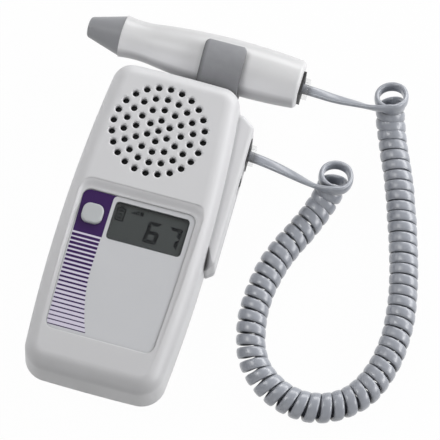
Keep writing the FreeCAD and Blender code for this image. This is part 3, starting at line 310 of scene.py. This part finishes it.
# ---- materials -----------------------------------------------------------------------------------
SEAM_Z = 11.0                   # parting plane of the two shells
SEAM_HALF = 0.13
SHELL_PAINTED_FALLOFF = (15.0, -72.0)      # painted falloff of light: the shells are painted a little darker towards their low end
CLIP_PAINTED_SHADE = (8.3, 6.6)          # painted shade on the clip's rounded left edge, from where the edge starts to round to where it ends
WINDOW_TOP = 7.5                # the display opening's upper and right edges
WINDOW_RIGHT = 22.4
WINDOW_SHADE = (1.9, 1.2)       # reach of the frame's shadow on the display under those edges
WINDOW_TINT = (0.96, 0.97, 0.97, 1.0)
WINDOW_SHEEN = 0.012            # share of light that the window's face mirrors, and how rough it is
WINDOW_ROUGHNESS = 0.12
SHADING_SAMPLES = 8             # rays for soft edges and for the painted shade in corners and gaps
MIX_A, MIX_B, MIX_RESULT = 6, 7, 2      # the colour sockets of a Mix node


def tone(red, green, blue):
    """A display colour of 0 to 255 as a shader colour."""
    def linear(v):
        v /= 255
        return v / 12.92 if v <= 0.04045 else ((v + 0.055) / 1.055) ** 2.4

    return linear(red), linear(green), linear(blue), 1.0


def grey(value):
    return value, value, value, 1.0


def scaled(colour, factor):
    return tuple(min(1.0, c * factor) for c in colour[:3]) + (1.0,)


class Finish:
    """A node material grown step by step from one Principled shader."""

    def __init__(self, name, roughness, **inputs):
        self.material = bpy.data.materials.new(name)
        self.material.use_nodes = True
        self.tree = self.material.node_tree
        self.shader = self.tree.nodes["Principled BSDF"]
        self.shader.inputs["Roughness"].default_value = roughness
        for key, value in inputs.items():
            self.shader.inputs[key.replace("_", " ")].default_value = value
        self.base = None
        self.normal = None
        self.place = self.node("ShaderNodeTexCoord").outputs["Object"]

    def node(self, kind, **settings):
        made = self.tree.nodes.new(kind)
        for key, value in settings.items():
            setattr(made, key, value)
        return made

    def join(self, output, socket):
        self.tree.links.new(output, socket)

    def noise(self, scale, detail=3.0, stretch=None):
        """Soft noise over the form, with about this many waves to the metre."""
        made = self.node("ShaderNodeTexNoise")
        made.inputs["Scale"].default_value = scale
        made.inputs["Detail"].default_value = detail
        place = self.place
        if stretch:
            mapping = self.node("ShaderNodeMapping")
            mapping.inputs["Scale"].default_value = stretch
            self.join(place, mapping.inputs["Vector"])
            place = mapping.outputs["Vector"]
        self.join(place, made.inputs["Vector"])
        return made.outputs["Fac"]

    def ramp(self, value, stops):
        """A colour read from a value by (position, colour) stops."""
        made = self.node("ShaderNodeValToRGB")
        elements = made.color_ramp.elements
        while len(elements) < len(stops):
            elements.new(0.5)
        for element, (position, colour) in zip(elements, stops):
            element.position = position
            element.color = colour
        self.join(value, made.inputs["Fac"])
        return made.outputs["Color"]

    def operate(self, operation, *values):
        """The result of a Math node on numbers or sockets."""
        made = self.node("ShaderNodeMath", operation=operation)
        for socket, value in zip(made.inputs, values):
            if isinstance(value, (int, float)):
                socket.default_value = value
            else:
                self.join(value, socket)
        return made.outputs[0]

    def colour(self, source):
        self.base = source
        self.join(source, self.shader.inputs["Base Color"])

    def mottle(self, colour, spread, scale):
        """Base colour with a slight drift of tone over the surface."""
        stops = [(0.3, scaled(colour, 1 - spread)), (0.7, scaled(colour, 1 + spread))]
        self.colour(self.ramp(self.noise(scale), stops))

    def paint_light_by_facing(self, axis, stops, spread, scale):
        """Base colour painted lighter or darker by how far faces turn along an axis, standing in for how the
        light falls on them, with a slight drift.
        """
        split = self.node("ShaderNodeSeparateXYZ")
        self.join(self.node("ShaderNodeNewGeometry").outputs["Normal"], split.inputs["Vector"])
        # from the normal's -1 to 1 to the ramp's 0 to 1
        share = self.operate("MULTIPLY_ADD", split.outputs[axis], 0.5, 0.5)
        drift = self.operate("MULTIPLY", self.noise(scale), spread)
        self.colour(self.ramp(self.operate("ADD", share, drift), stops))

    def multiply(self, shade):
        """The base colour so far, darkened by a shade."""
        mix = self.node("ShaderNodeMix", data_type="RGBA", blend_type="MULTIPLY")
        mix.inputs["Factor"].default_value = 1.0
        self.join(self.base, mix.inputs[MIX_A])
        self.join(shade, mix.inputs[MIX_B])
        self.colour(mix.outputs[MIX_RESULT])

    def paint_hollow_shade(self, reach, dark, closed=0.0):
        """Paints shade into the base colour in gaps and corners, where other faces stand within a reach."""
        opening = self.node("ShaderNodeAmbientOcclusion", samples=SHADING_SAMPLES)
        opening.inputs["Distance"].default_value = reach * MM
        self.multiply(self.ramp(opening.outputs["AO"], [(closed, grey(dark)), (1.0, grey(1.0))]))

    def fade(self, axis, start, end, dark):
        """Paints shade into the base colour along an axis, from none at the start to most at the end."""
        split = self.node("ShaderNodeSeparateXYZ")
        self.join(self.place, split.inputs["Vector"])
        way = self.node("ShaderNodeMapRange")
        way.inputs["From Min"].default_value = start * MM
        way.inputs["From Max"].default_value = end * MM
        self.join(split.outputs[axis], way.inputs["Value"])
        self.multiply(self.ramp(way.outputs["Result"], [(0.0, grey(1.0)), (1.0, grey(dark))]))

    def seam(self, height, half, dark):
        """A fine dark line round the form at one height."""
        split = self.node("ShaderNodeSeparateXYZ")
        self.join(self.place, split.inputs["Vector"])
        off = self.operate("ABSOLUTE", self.operate("SUBTRACT", split.outputs["Z"], height * MM))
        inside = self.operate("LESS_THAN", off, half * MM)
        mix = self.node("ShaderNodeMix", data_type="RGBA")
        self.join(inside, mix.inputs["Factor"])
        self.join(self.base, mix.inputs[MIX_A])
        mix.inputs[MIX_B].default_value = dark
        self.colour(mix.outputs[MIX_RESULT])

    def gloss_drift(self, low, high, scale=90.0):
        """Roughness that drifts a little over the surface."""
        drift = self.ramp(self.noise(scale), [(0.3, grey(low)), (0.7, grey(high))])
        self.join(drift, self.shader.inputs["Roughness"])

    def soften(self, radius):
        """Rounds the shading of sharp edges and of the joint between two forms."""
        bevel = self.node("ShaderNodeBevel", samples=SHADING_SAMPLES)
        bevel.inputs["Radius"].default_value = radius * MM
        self.normal = bevel.outputs["Normal"]
        self.join(self.normal, self.shader.inputs["Normal"])

    def bump(self, height, depth, strength):
        made = self.node("ShaderNodeBump")
        made.inputs["Strength"].default_value = strength
        made.inputs["Distance"].default_value = depth * MM
        self.join(height, made.inputs["Height"])
        if self.normal:
            self.join(self.normal, made.inputs["Normal"])
        self.normal = made.outputs["Normal"]
        self.join(self.normal, self.shader.inputs["Normal"])

    def grain(self, scale, depth, strength, stretch=None):
        """Fine roughness of the surface."""
        self.bump(self.noise(scale, detail=2.0, stretch=stretch), depth, strength)


def shell_plastic(with_seam):
    made = Finish("shell_white", 0.42, IOR=1.46)
    made.mottle(tone(218, 218, 220), spread=0.012, scale=30.0)
    # painted shade in the shells' creases, corners and recesses
    made.paint_hollow_shade(reach=2.0, dark=0.5)
    # painted falloff of light towards the shells' low end
    made.fade("Y", *SHELL_PAINTED_FALLOFF, dark=0.88)
    if with_seam:
        made.seam(SEAM_Z, SEAM_HALF, tone(120, 120, 122))
    made.gloss_drift(0.38, 0.48)
    made.soften(radius=1.1)
    made.grain(1400.0, depth=0.02, strength=0.12)
    return made.material


def probe_plastic():
    made = Finish("probe_white", 0.32, IOR=1.46)
    # painted light and shade on the probe: lighter on faces turned towards -Y, darker on level faces and
    # those turned towards +Y, and darker again on faces turned fully to -Y
    painted_light_tones = [(0.02, tone(200, 200, 202)), (0.08, tone(252, 252, 254)), (0.5, tone(226, 226, 227)),
              (0.8, tone(212, 212, 213))]
    made.paint_light_by_facing("Y", painted_light_tones, spread=0.01, scale=25.0)
    # painted shade beside the clip and in the probe's other corners
    made.paint_hollow_shade(reach=3.0, dark=0.5)
    made.gloss_drift(0.28, 0.37, scale=60.0)
    made.soften(radius=0.6)
    made.grain(1100.0, depth=0.01, strength=0.1)
    return made.material


def clip_plastic():
    made = Finish("clip_grey", 0.5, IOR=1.46)
    made.mottle(tone(150, 151, 155), spread=0.06, scale=160.0)
    # painted shade towards the clip's lower end, where it meets the case
    made.paint_hollow_shade(reach=9.0, dark=0.12, closed=0.3)
    # painted shade on the clip's left edge
    made.fade("X", *CLIP_PAINTED_SHADE, dark=0.55)
    made.gloss_drift(0.45, 0.58)
    made.soften(radius=1.3)
    made.grain(2200.0, depth=0.04, strength=0.35)
    return made.material


def nose_plastic():
    made = Finish("nose_grey", 0.36, IOR=1.46)
    made.mottle(tone(152, 153, 157), spread=0.02, scale=60.0)
    made.gloss_drift(0.32, 0.42)
    made.soften(radius=0.5)
    made.grain(1500.0, depth=0.01, strength=0.15)
    return made.material


def button_plastic():
    made = Finish("button_grey", 0.45, IOR=1.46)
    made.mottle(tone(188, 191, 193), spread=0.015, scale=120.0)
    made.gloss_drift(0.4, 0.5)
    made.soften(radius=0.5)
    made.grain(2500.0, depth=0.02, strength=0.2)
    return made.material


def film(name, colour, spread=0.01, sheen=0.5):
    """Printed film: the label's ground and its inks."""
    made = Finish(name, 0.38, IOR=1.5, Specular_IOR_Level=sheen)
    made.mottle(colour, spread, scale=60.0)
    # painted shade on the label and its prints near the step and the pocket's walls
    made.paint_hollow_shade(reach=4.0, dark=0.3)
    made.gloss_drift(0.34, 0.43, scale=140.0)
    made.grain(2600.0, depth=0.01, strength=0.1)
    return made.material


def display_glass():
    made = Finish("lcd_cell", 0.3, IOR=1.5, Specular_IOR_Level=0.1)
    tones = [(0.3, tone(68, 70, 70)), (0.7, tone(76, 78, 78))]
    made.colour(made.ramp(made.noise(22.0, detail=2.0), tones))
    # painted shadow of the window's frame on the display's upper and right edges
    made.fade("Y", WINDOW_TOP - WINDOW_SHADE[0], WINDOW_TOP, dark=0.12)
    made.fade("X", WINDOW_RIGHT - WINDOW_SHADE[1], WINDOW_RIGHT, dark=0.3)
    made.grain(5200.0, depth=0.005, strength=0.1, stretch=(1.0, 0.15, 1.0))
    return made.material


def display_ink():
    made = Finish("display_ink", 0.35, Specular_IOR_Level=0.05)
    made.mottle(tone(3, 5, 9), spread=0.08, scale=300.0)
    made.grain(4000.0, depth=0.003, strength=0.1)
    return made.material


def clear_sheet():
    """A thin clear window: light passes, with a faint sheen on the face."""
    material = bpy.data.materials.new("clear_window")
    material.use_nodes = True
    tree = material.node_tree
    tree.nodes.clear()
    clear = tree.nodes.new("ShaderNodeBsdfTransparent")
    clear.inputs["Color"].default_value = WINDOW_TINT
    sheen = tree.nodes.new("ShaderNodeBsdfGlossy")
    sheen.inputs["Roughness"].default_value = WINDOW_ROUGHNESS
    noise = tree.nodes.new("ShaderNodeTexNoise")
    noise.inputs["Scale"].default_value = 700.0
    bump = tree.nodes.new("ShaderNodeBump")
    bump.inputs["Strength"].default_value = 0.05
    bump.inputs["Distance"].default_value = 0.01 * MM
    mix = tree.nodes.new("ShaderNodeMixShader")
    mix.inputs["Fac"].default_value = WINDOW_SHEEN
    out = tree.nodes.new("ShaderNodeOutputMaterial")
    tree.links.new(noise.outputs["Fac"], bump.inputs["Height"])
    tree.links.new(bump.outputs["Normal"], sheen.inputs["Normal"])
    tree.links.new(clear.outputs[0], mix.inputs[1])
    tree.links.new(sheen.outputs[0], mix.inputs[2])
    tree.links.new(mix.outputs[0], out.inputs["Surface"])
    return material


def plug_plastic():
    made = Finish("plug_clear", 0.12, IOR=1.45, Alpha=0.14)
    made.mottle(tone(226, 228, 232), spread=0.02, scale=200.0)
    made.soften(radius=0.3)
    made.grain(900.0, depth=0.02, strength=0.1)
    return made.material


def dark_plastic(name, colour, roughness=0.45):
    made = Finish(name, roughness, IOR=1.48)
    made.mottle(colour, spread=0.12, scale=200.0)
    made.soften(radius=0.3)
    made.grain(3000.0, depth=0.03, strength=0.25)
    return made.material


def cloth():
    """Plain woven dust cloth."""
    made = Finish("cloth_black", 0.9)
    weave = made.node("ShaderNodeTexWave", wave_type="BANDS", bands_direction="X")
    weft = made.node("ShaderNodeTexWave", wave_type="BANDS", bands_direction="Y")
    for wave in (weave, weft):
        wave.inputs["Scale"].default_value = 420.0
        wave.inputs["Distortion"].default_value = 0.4
        made.join(made.place, wave.inputs["Vector"])
    height = made.operate("MULTIPLY", weave.outputs["Fac"], weft.outputs["Fac"])
    made.colour(made.ramp(height, [(0.1, tone(4, 4, 5)), (0.9, tone(22, 22, 24))]))
    made.bump(height, depth=0.1, strength=0.6)
    return made.material


def metal(name, colour, roughness, stretch=(1, 1, 1)):
    made = Finish(name, roughness, Metallic=1.0)
    made.mottle(colour, spread=0.06, scale=160.0)
    made.gloss_drift(roughness * 0.8, roughness * 1.3, scale=300.0)
    made.grain(1800.0, depth=0.01, strength=0.3, stretch=stretch)
    return made.material


def board():
    """Glass-epoxy laminate with tracks and round pads under a green mask."""
    made = Finish("board_green", 0.3, IOR=1.5)
    tracks = made.node("ShaderNodeTexBrick")
    tracks.inputs["Scale"].default_value = 260.0
    tracks.inputs["Mortar Size"].default_value = 0.12
    tracks.inputs["Color1"].default_value = tone(12, 70, 34)
    tracks.inputs["Color2"].default_value = tone(15, 84, 41)
    tracks.inputs["Mortar"].default_value = tone(46, 120, 62)
    made.join(made.place, tracks.inputs["Vector"])
    pads = made.node("ShaderNodeTexVoronoi", feature="DISTANCE_TO_EDGE")
    pads.inputs["Scale"].default_value = 330.0
    made.join(made.place, pads.inputs["Vector"])
    mask = made.ramp(pads.outputs["Distance"], [(0.42, grey(0.0)), (0.46, grey(1.0))])
    mix = made.node("ShaderNodeMix", data_type="RGBA")
    made.join(mask, mix.inputs["Factor"])
    made.join(tracks.outputs["Color"], mix.inputs[MIX_A])
    mix.inputs[MIX_B].default_value = tone(196, 178, 110)
    made.colour(mix.outputs[MIX_RESULT])
    made.bump(tracks.outputs["Fac"], depth=0.03, strength=0.4)
    return made.material


def banded(name, colours, direction, scale, roughness=0.4):
    """Bands of colour along one axis, such as a printed sleeve or a layered strip."""
    made = Finish(name, roughness)
    wave = made.node("ShaderNodeTexWave", wave_type="BANDS", bands_direction=direction, wave_profile="SAW")
    wave.inputs["Scale"].default_value = scale
    made.join(made.place, wave.inputs["Vector"])
    share = 1.0 / len(colours)
    stops = [(share * i, colour) for i, colour in enumerate(colours)]
    made.colour(made.ramp(wave.outputs["Fac"], stops))
    made.grain(1500.0, depth=0.01, strength=0.2)
    return made.material


def ceramic(name, colour):
    made = Finish(name, 0.5)
    made.mottle(colour, spread=0.05, scale=500.0)
    made.grain(4000.0, depth=0.02, strength=0.4)
    return made.material


def paper():
    made = Finish("cone_paper", 0.85)
    made.mottle(tone(88, 85, 82), spread=0.12, scale=350.0)
    made.grain(900.0, depth=0.1, strength=0.6)
    return made.material


def cord_jacket():
    made = Finish("cord_grey", 0.3, IOR=1.5, Coat_Weight=0.7, Coat_Roughness=0.3, Coat_IOR=1.65)
    made.mottle(tone(151, 155, 164), spread=0.05, scale=160.0)
    # painted shade in the gaps between the cord's turns
    made.paint_hollow_shade(reach=2.6, dark=0.02, closed=0.1)
    made.gloss_drift(0.28, 0.42, scale=260.0)
    made.grain(900.0, depth=0.04, strength=0.25)
    return made.material


def dress(material, *names):
    """Gives nodes a material by their slots alone."""
    for name in names:
        for slot in nodes[name].material_slots:
            slot.material = material


dress(shell_plastic(True), "front_shell", "back_shell")
dress(shell_plastic(False), "battery_door")
dress(probe_plastic(), "probe_body")
dress(nose_plastic(), "probe_nose")
dress(clip_plastic(), "probe_clip")
dress(button_plastic(), "power_button")
dress(film("label_film", tone(204, 205, 208)), "label_overlay")
dress(display_glass(), "lcd_module")
dress(clear_sheet(), "lcd_window")
dress(plug_plastic(), "unit_plug", "probe_plug")
dress(dark_plastic("jack_black", tone(34, 34, 36)), "unit_jack", "probe_jack")
dress(dark_plastic("wheel_dark", tone(58, 60, 63), 0.55), "volume_wheel")
dress(dark_plastic("black_plastic", tone(40, 40, 42)), "lcd_frame", "power_switch")
dress(dark_plastic("chip_black", tone(36, 36, 38)), "board_chips", "probe_chips", "switch_plunger")
dress(dark_plastic("basket_black", tone(50, 50, 52), 0.4), "speaker_basket")
dress(dark_plastic("backing_dark", tone(70, 70, 74), 0.8), "crystal_backing")
dress(cloth(), "speaker_cloth")
dress(paper(), "speaker_cone")
dress(metal("magnet_steel", tone(188, 190, 194), 0.35), "speaker_magnet")
dress(metal("pot_metal", tone(190, 190, 192), 0.3), "volume_pot")
dress(metal("contact_nickel", tone(214, 212, 206), 0.22, (1, 4, 1)), "battery_contacts")
dress(metal("screw_steel", tone(196, 196, 200), 0.28), "case_screws", "clip_screws")
dress(metal("capacitor_can", tone(200, 202, 206), 0.3, (1, 1, 5)), "board_capacitors")
dress(board(), "main_board", "side_board", "probe_board")
dress(banded("zebra_rubber", [tone(52, 52, 54), tone(150, 150, 152)], "X", 900.0, 0.7), "zebra_strips")
dress(banded("ribbon_grey", [tone(150, 152, 156), tone(188, 190, 194)], "Y", 250.0), "board_link")
dress(banded("cell_sleeve", [tone(38, 46, 60), tone(38, 46, 60), tone(60, 72, 92), tone(196, 168, 92)],
             "Y", 6.4, 0.3), "battery_cell_1", "battery_cell_2", "battery_cell_3")
dress(ceramic("crystal_ceramic", tone(210, 204, 190)), "crystal_transmit", "crystal_receive")
cord.data.materials.append(cord_jacket())

# ---- print on the label and signs on the display -------------------------------------------------
# x and y lie on the sloping panel, from the middle of its upper end.
PANEL_TOP = (0.0, 9.65, 30.3)
PANEL_FOOT = (0.0, -64.5, 32.0)
PANEL_TILT = math.atan2(PANEL_FOOT[2] - PANEL_TOP[2], PANEL_TOP[1] - PANEL_FOOT[1])
LABEL_FACE = -0.35              # the label's and the display's faces, from the panel's
DISPLAY_FACE = -1.35
INK = 0.03                      # how far a print lies above what carries it
GROUND_INK = 0.015              # the same for the ground under the stripes
LABEL_HEAD = -0.1
LABEL_FOOT = -63.9
LABEL_EDGE_TOP = -25.1          # the label's left edge at the head and at the foot
LABEL_EDGE_BOTTOM = -23.3
LABEL_CORNER = 3.4
BLOCK_RIGHT = -11.86
BLOCK_FOOT = -19.95
FIELD_CORNER = 1.9
STRIPES = 22
STRIPE_FIRST = -21.45
STRIPE_LAST = -62.25
STRIPE_THICK = (1.28, 0.42)     # the first stripe's thickness and the last one's
STRIPE_RIGHT = -12.15
STRIPE_FLARE = 5.75             # how much farther right the last stripe ends
STRIPE_FLARE_FROM = -33.2
STRIPE_FLARE_RUN = 29.0
GROUND_STEPS = 24
DIGIT = (6.0, 9.9)              # width and height
DIGIT_SLANT = math.tan(math.radians(4.5))
SEGMENT = 1.65
SEGMENT_GAP = 0.16
SIX_PLACE = (4.75, -16.8)
SEVEN_PLACE = (13.75, -16.8)
BATTERY = (-9.3, -5.3, -10.4, -4.2)     # left, right, foot and head of the battery sign
BATTERY_LINE = 0.7
BATTERY_INSET = 1.1             # from the sign's sides to its bars
BATTERY_BARS = 3
BATTERY_BAR = 1.1               # height, pitch and lowest place of its bars
BATTERY_BAR_PITCH = 1.6
BATTERY_BAR_FOOT = 1.0
SIGNAL_FOOT = -5.8
SIGNAL_LEFT = -2.9
SIGNAL_BARS = 4
SIGNAL_BAR = (0.65, 0.9)        # width and the first one's height
SIGNAL_PITCH = 0.9
SIGNAL_RISE = 0.35
SIGNAL_BLOCK = (0.8, 2.4, -3.9)         # left, right and head of the block beside the bars


def on_panel(x, y, z):
    c, s = math.cos(PANEL_TILT), math.sin(PANEL_TILT)
    return ((PANEL_TOP[0] + x) * MM, (PANEL_TOP[1] + y * c + z * s) * MM, (PANEL_TOP[2] - y * s + z * c) * MM)


def print_piece(name, shapes, face, material, above=INK):
    """Flat printed shapes, each a list of (x, y) on the panel, as one mesh."""
    verts, faces = [], []
    for shape in shapes:
        faces.append(tuple(range(len(verts), len(verts) + len(shape))))
        verts += [on_panel(x, y, face + above) for x, y in shape]
    mesh = bpy.data.meshes.new(name)
    mesh.from_pydata(verts, [], faces)
    mesh.update()
    for polygon in mesh.polygons:
        if polygon.normal.z < 0:
            polygon.flip()
    mesh.materials.append(material)
    piece = link(bpy.data.objects.new(name, mesh))
    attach(piece, "unit")


def quarter(x, y, r, start, steps=8):
    """Points of a quarter circle, from a start angle in degrees, anticlockwise."""
    return [(x + r * math.cos(math.radians(start + 90 * i / steps)),
             y + r * math.sin(math.radians(start + 90 * i / steps))) for i in range(steps + 1)]


def label_edge(y):
    """The label's left edge at a height on the panel."""
    x = LABEL_EDGE_TOP + (LABEL_EDGE_BOTTOM - LABEL_EDGE_TOP) * y / LABEL_FOOT
    rise = y - LABEL_FOOT
    if rise < LABEL_CORNER:
        x += LABEL_CORNER - math.sqrt(LABEL_CORNER ** 2 - (LABEL_CORNER - rise) ** 2)
    return x


def purple_block():
    """The printed block round the button, with the label's round corner and a hollow one inside."""
    corner = quarter(LABEL_EDGE_TOP + LABEL_CORNER, LABEL_HEAD - LABEL_CORNER, LABEL_CORNER, 90)
    inner = quarter(BLOCK_RIGHT + FIELD_CORNER, LABEL_HEAD - FIELD_CORNER, FIELD_CORNER, 90)
    foot = [(BLOCK_RIGHT, BLOCK_FOOT), (label_edge(BLOCK_FOOT), BLOCK_FOOT)]
    return list(reversed(corner)) + inner + foot


def stripe_end(y):
    """Right end of the stripes at a height on the panel."""
    return STRIPE_RIGHT + STRIPE_FLARE * max(0.0, (STRIPE_FLARE_FROM - y) / STRIPE_FLARE_RUN) ** 2


def stripe_ground():
    """The pale field under the stripes, down to the last one."""
    left, right = [], []
    for k in range(GROUND_STEPS + 1):
        y = BLOCK_FOOT + (STRIPE_LAST - BLOCK_FOOT) * k / GROUND_STEPS
        left.append((label_edge(y), y))
        right.append((stripe_end(y), y))
    return left + list(reversed(right))


def stripes():
    """Stripes that grow thinner towards the label's foot and follow its left edge."""
    made = []
    for k in range(STRIPES):
        share = k / (STRIPES - 1)
        y = STRIPE_FIRST + (STRIPE_LAST - STRIPE_FIRST) * share
        half = (STRIPE_THICK[0] + (STRIPE_THICK[1] - STRIPE_THICK[0]) * share) / 2
        right = stripe_end(y)
        left_low, left_high = label_edge(y - half), label_edge(y + half)
        made.append([(left_low, y - half), (right, y - half), (right, y + half), (left_high, y + half)])
    return made


def flipped(shape, across=None, up=None):
    """A digit's segment mirrored within the digit's width or height."""
    return [(x if across is None else across - x, y if up is None else up - y) for x, y in shape]


def segments():
    """The seven segments of a digit: long outer edges, slanted ends and fine gaps between them."""
    (w, h), t, gap = DIGIT, SEGMENT, SEGMENT_GAP
    middle = h / 2
    top = [(gap, h), (w - gap, h), (w - t - gap, h - t), (t + gap, h - t)]
    side = [(0, h - gap), (t, h - t - gap), (t, middle + t / 2 + gap), (0, middle + gap)]
    bar = [(gap, middle), (t / 2 + gap, middle + t / 2), (w - t / 2 - gap, middle + t / 2), (w - gap, middle),
           (w - t / 2 - gap, middle - t / 2), (t / 2 + gap, middle - t / 2)]
    return {"a": top, "b": flipped(side, across=w), "c": flipped(side, across=w, up=h),
            "d": flipped(top, up=h), "e": flipped(side, up=h), "f": side, "g": bar}


def digit(lit, place):
    """A seven-segment digit leaning to the right, from the letters of its lit segments."""
    shapes = segments()
    return [[(place[0] + x + y * DIGIT_SLANT, place[1] + y) for x, y in shapes[letter]] for letter in lit]


def rectangle(x0, x1, y0, y1):
    return [(x0, y0), (x1, y0), (x1, y1), (x0, y1)]


def battery_icon():
    """A cell's outline with its terminal on top and bars of charge inside."""
    (x0, x1, y0, y1), line = BATTERY, BATTERY_LINE
    left, right = x0 + BATTERY_INSET, x1 - BATTERY_INSET
    made = [rectangle(x0, x0 + line, y0, y1), rectangle(x1 - line, x1, y0, y1),
            rectangle(x0 + line, x1 - line, y1 - line, y1), rectangle(x0 + line, x1 - line, y0, y0 + line),
            rectangle(left, right, y1, y1 + line)]
    for k in range(BATTERY_BARS):
        low = y0 + BATTERY_BAR_FOOT + BATTERY_BAR_PITCH * k
        made.append(rectangle(left, right, low, low + BATTERY_BAR))
    return made


def signal_icon():
    """Rising bars with one block beside them."""
    width, height = SIGNAL_BAR
    made = []
    for k in range(SIGNAL_BARS):
        left = SIGNAL_LEFT + SIGNAL_PITCH * k
        made.append(rectangle(left, left + width, SIGNAL_FOOT, SIGNAL_FOOT + height + SIGNAL_RISE * k))
    left, right, head = SIGNAL_BLOCK
    return made + [rectangle(left, right, SIGNAL_FOOT, head)]


purple = film("label_print", tone(56, 30, 84), 0.03, 0.15)
print_piece("label_block", [purple_block()], LABEL_FACE, purple)
lilac = film("label_lilac", tone(216, 211, 226))
print_piece("stripe_ground", [stripe_ground()], LABEL_FACE, lilac, GROUND_INK)
print_piece("label_stripes", stripes(), LABEL_FACE, purple)
digits = digit("afgedc", SIX_PLACE) + digit("abc", SEVEN_PLACE)
ink = display_ink()
print_piece("display_digits", digits, DISPLAY_FACE, ink)
print_piece("display_icons", battery_icon() + signal_icon(), DISPLAY_FACE, ink)

# ---- stage, in metres ----------------------------------------------------------------------------
FLOOR_HALF = 3.0
FLOOR_DROP = 0.0002
FLOOR_GREY = 0.74
FLOOR_ROUGHNESS = 0.9
WHITE_SHARE = 0.98              # how much of the floor's look is plain white rather than lit
AMBIENT = 0.05
LAMP_AIM = Vector((0.03, 0.0, 0.01))
LAMP_HEIGHT = 0.35
LAMPS = [                       # azimuth and elevation in degrees, distance, width and power
    (45, 18, 1.0, 1.0, 6.1), (180, 18, 1.0, 1.0, 1.7), (270, 18, 1.0, 1.0, 0.8),
    (90, 25, 0.9, 0.35, 2.3), (0, 25, 0.9, 0.35, 2.7), (180, 60, 0.9, 0.35, 2.35),
    (270, 45, 0.9, 0.35, 0.2)]


def seen_rays(tree):
    """1 for rays that show the background itself: from the camera, mirrors and glass."""
    path = tree.nodes.new("ShaderNodeLightPath")
    total = path.outputs["Is Camera Ray"]
    for name in ("Is Glossy Ray", "Is Transmission Ray"):
        either = tree.nodes.new("ShaderNodeMath")
        either.operation = "MAXIMUM"
        tree.links.new(total, either.inputs[0])
        tree.links.new(path.outputs[name], either.inputs[1])
        total = either.outputs[0]
    return total


def make_floor():
    mesh = bpy.data.meshes.new("floor")
    far = FLOOR_HALF
    mesh.from_pydata([(-far, -far, 0), (far, -far, 0), (far, far, 0), (-far, far, 0)], [], [(0, 1, 2, 3)])
    floor = link(bpy.data.objects.new("floor", mesh))
    floor.location.z = -FLOOR_DROP
    material = bpy.data.materials.new("floor")
    material.use_nodes = True
    tree = material.node_tree
    lit = tree.nodes["Principled BSDF"]
    lit.inputs["Base Color"].default_value = grey(FLOOR_GREY)
    lit.inputs["Roughness"].default_value = FLOOR_ROUGHNESS
    plain = tree.nodes.new("ShaderNodeEmission")
    share = tree.nodes.new("ShaderNodeMath")
    share.operation = "MULTIPLY"
    share.inputs[1].default_value = WHITE_SHARE
    mix = tree.nodes.new("ShaderNodeMixShader")
    tree.links.new(seen_rays(tree), share.inputs[0])
    tree.links.new(share.outputs[0], mix.inputs["Fac"])
    tree.links.new(lit.outputs[0], mix.inputs[1])
    tree.links.new(plain.outputs[0], mix.inputs[2])
    tree.links.new(mix.outputs[0], tree.nodes["Material Output"].inputs["Surface"])
    mesh.materials.append(material)


def make_world():
    """A faint white fill on the object, behind which the background itself shows plain white."""
    world = bpy.data.worlds.new("world")
    world.use_nodes = True
    tree = world.node_tree
    fill = tree.nodes["Background"]
    fill.inputs["Color"].default_value = grey(1.0)
    fill.inputs["Strength"].default_value = AMBIENT
    plain = tree.nodes.new("ShaderNodeBackground")
    plain.inputs["Color"].default_value = grey(1.0)
    mix = tree.nodes.new("ShaderNodeMixShader")
    tree.links.new(seen_rays(tree), mix.inputs["Fac"])
    tree.links.new(fill.outputs[0], mix.inputs[1])
    tree.links.new(plain.outputs[0], mix.inputs[2])
    tree.links.new(mix.outputs[0], tree.nodes["World Output"].inputs["Surface"])
    scene.world = world


def make_lamp(number, azimuth, elevation, distance, width, power):
    light = bpy.data.lights.new(f"lamp_{number}", "AREA")
    light.shape = "RECTANGLE"
    light.size = width
    light.size_y = LAMP_HEIGHT
    light.energy = power
    lamp = link(bpy.data.objects.new(light.name, light))
    turn, rise = math.radians(azimuth), math.radians(elevation)
    away = Vector((math.cos(rise) * math.cos(turn), math.cos(rise) * math.sin(turn), math.sin(rise)))
    lamp.location = LAMP_AIM + away * distance
    lamp.rotation_mode = "QUATERNION"
    lamp.rotation_quaternion = (-away).to_track_quat("-Z", "Y")


make_floor()
make_world()
for number, setting in enumerate(LAMPS):
    make_lamp(number, *setting)
scene.view_settings.view_transform = "Standard"
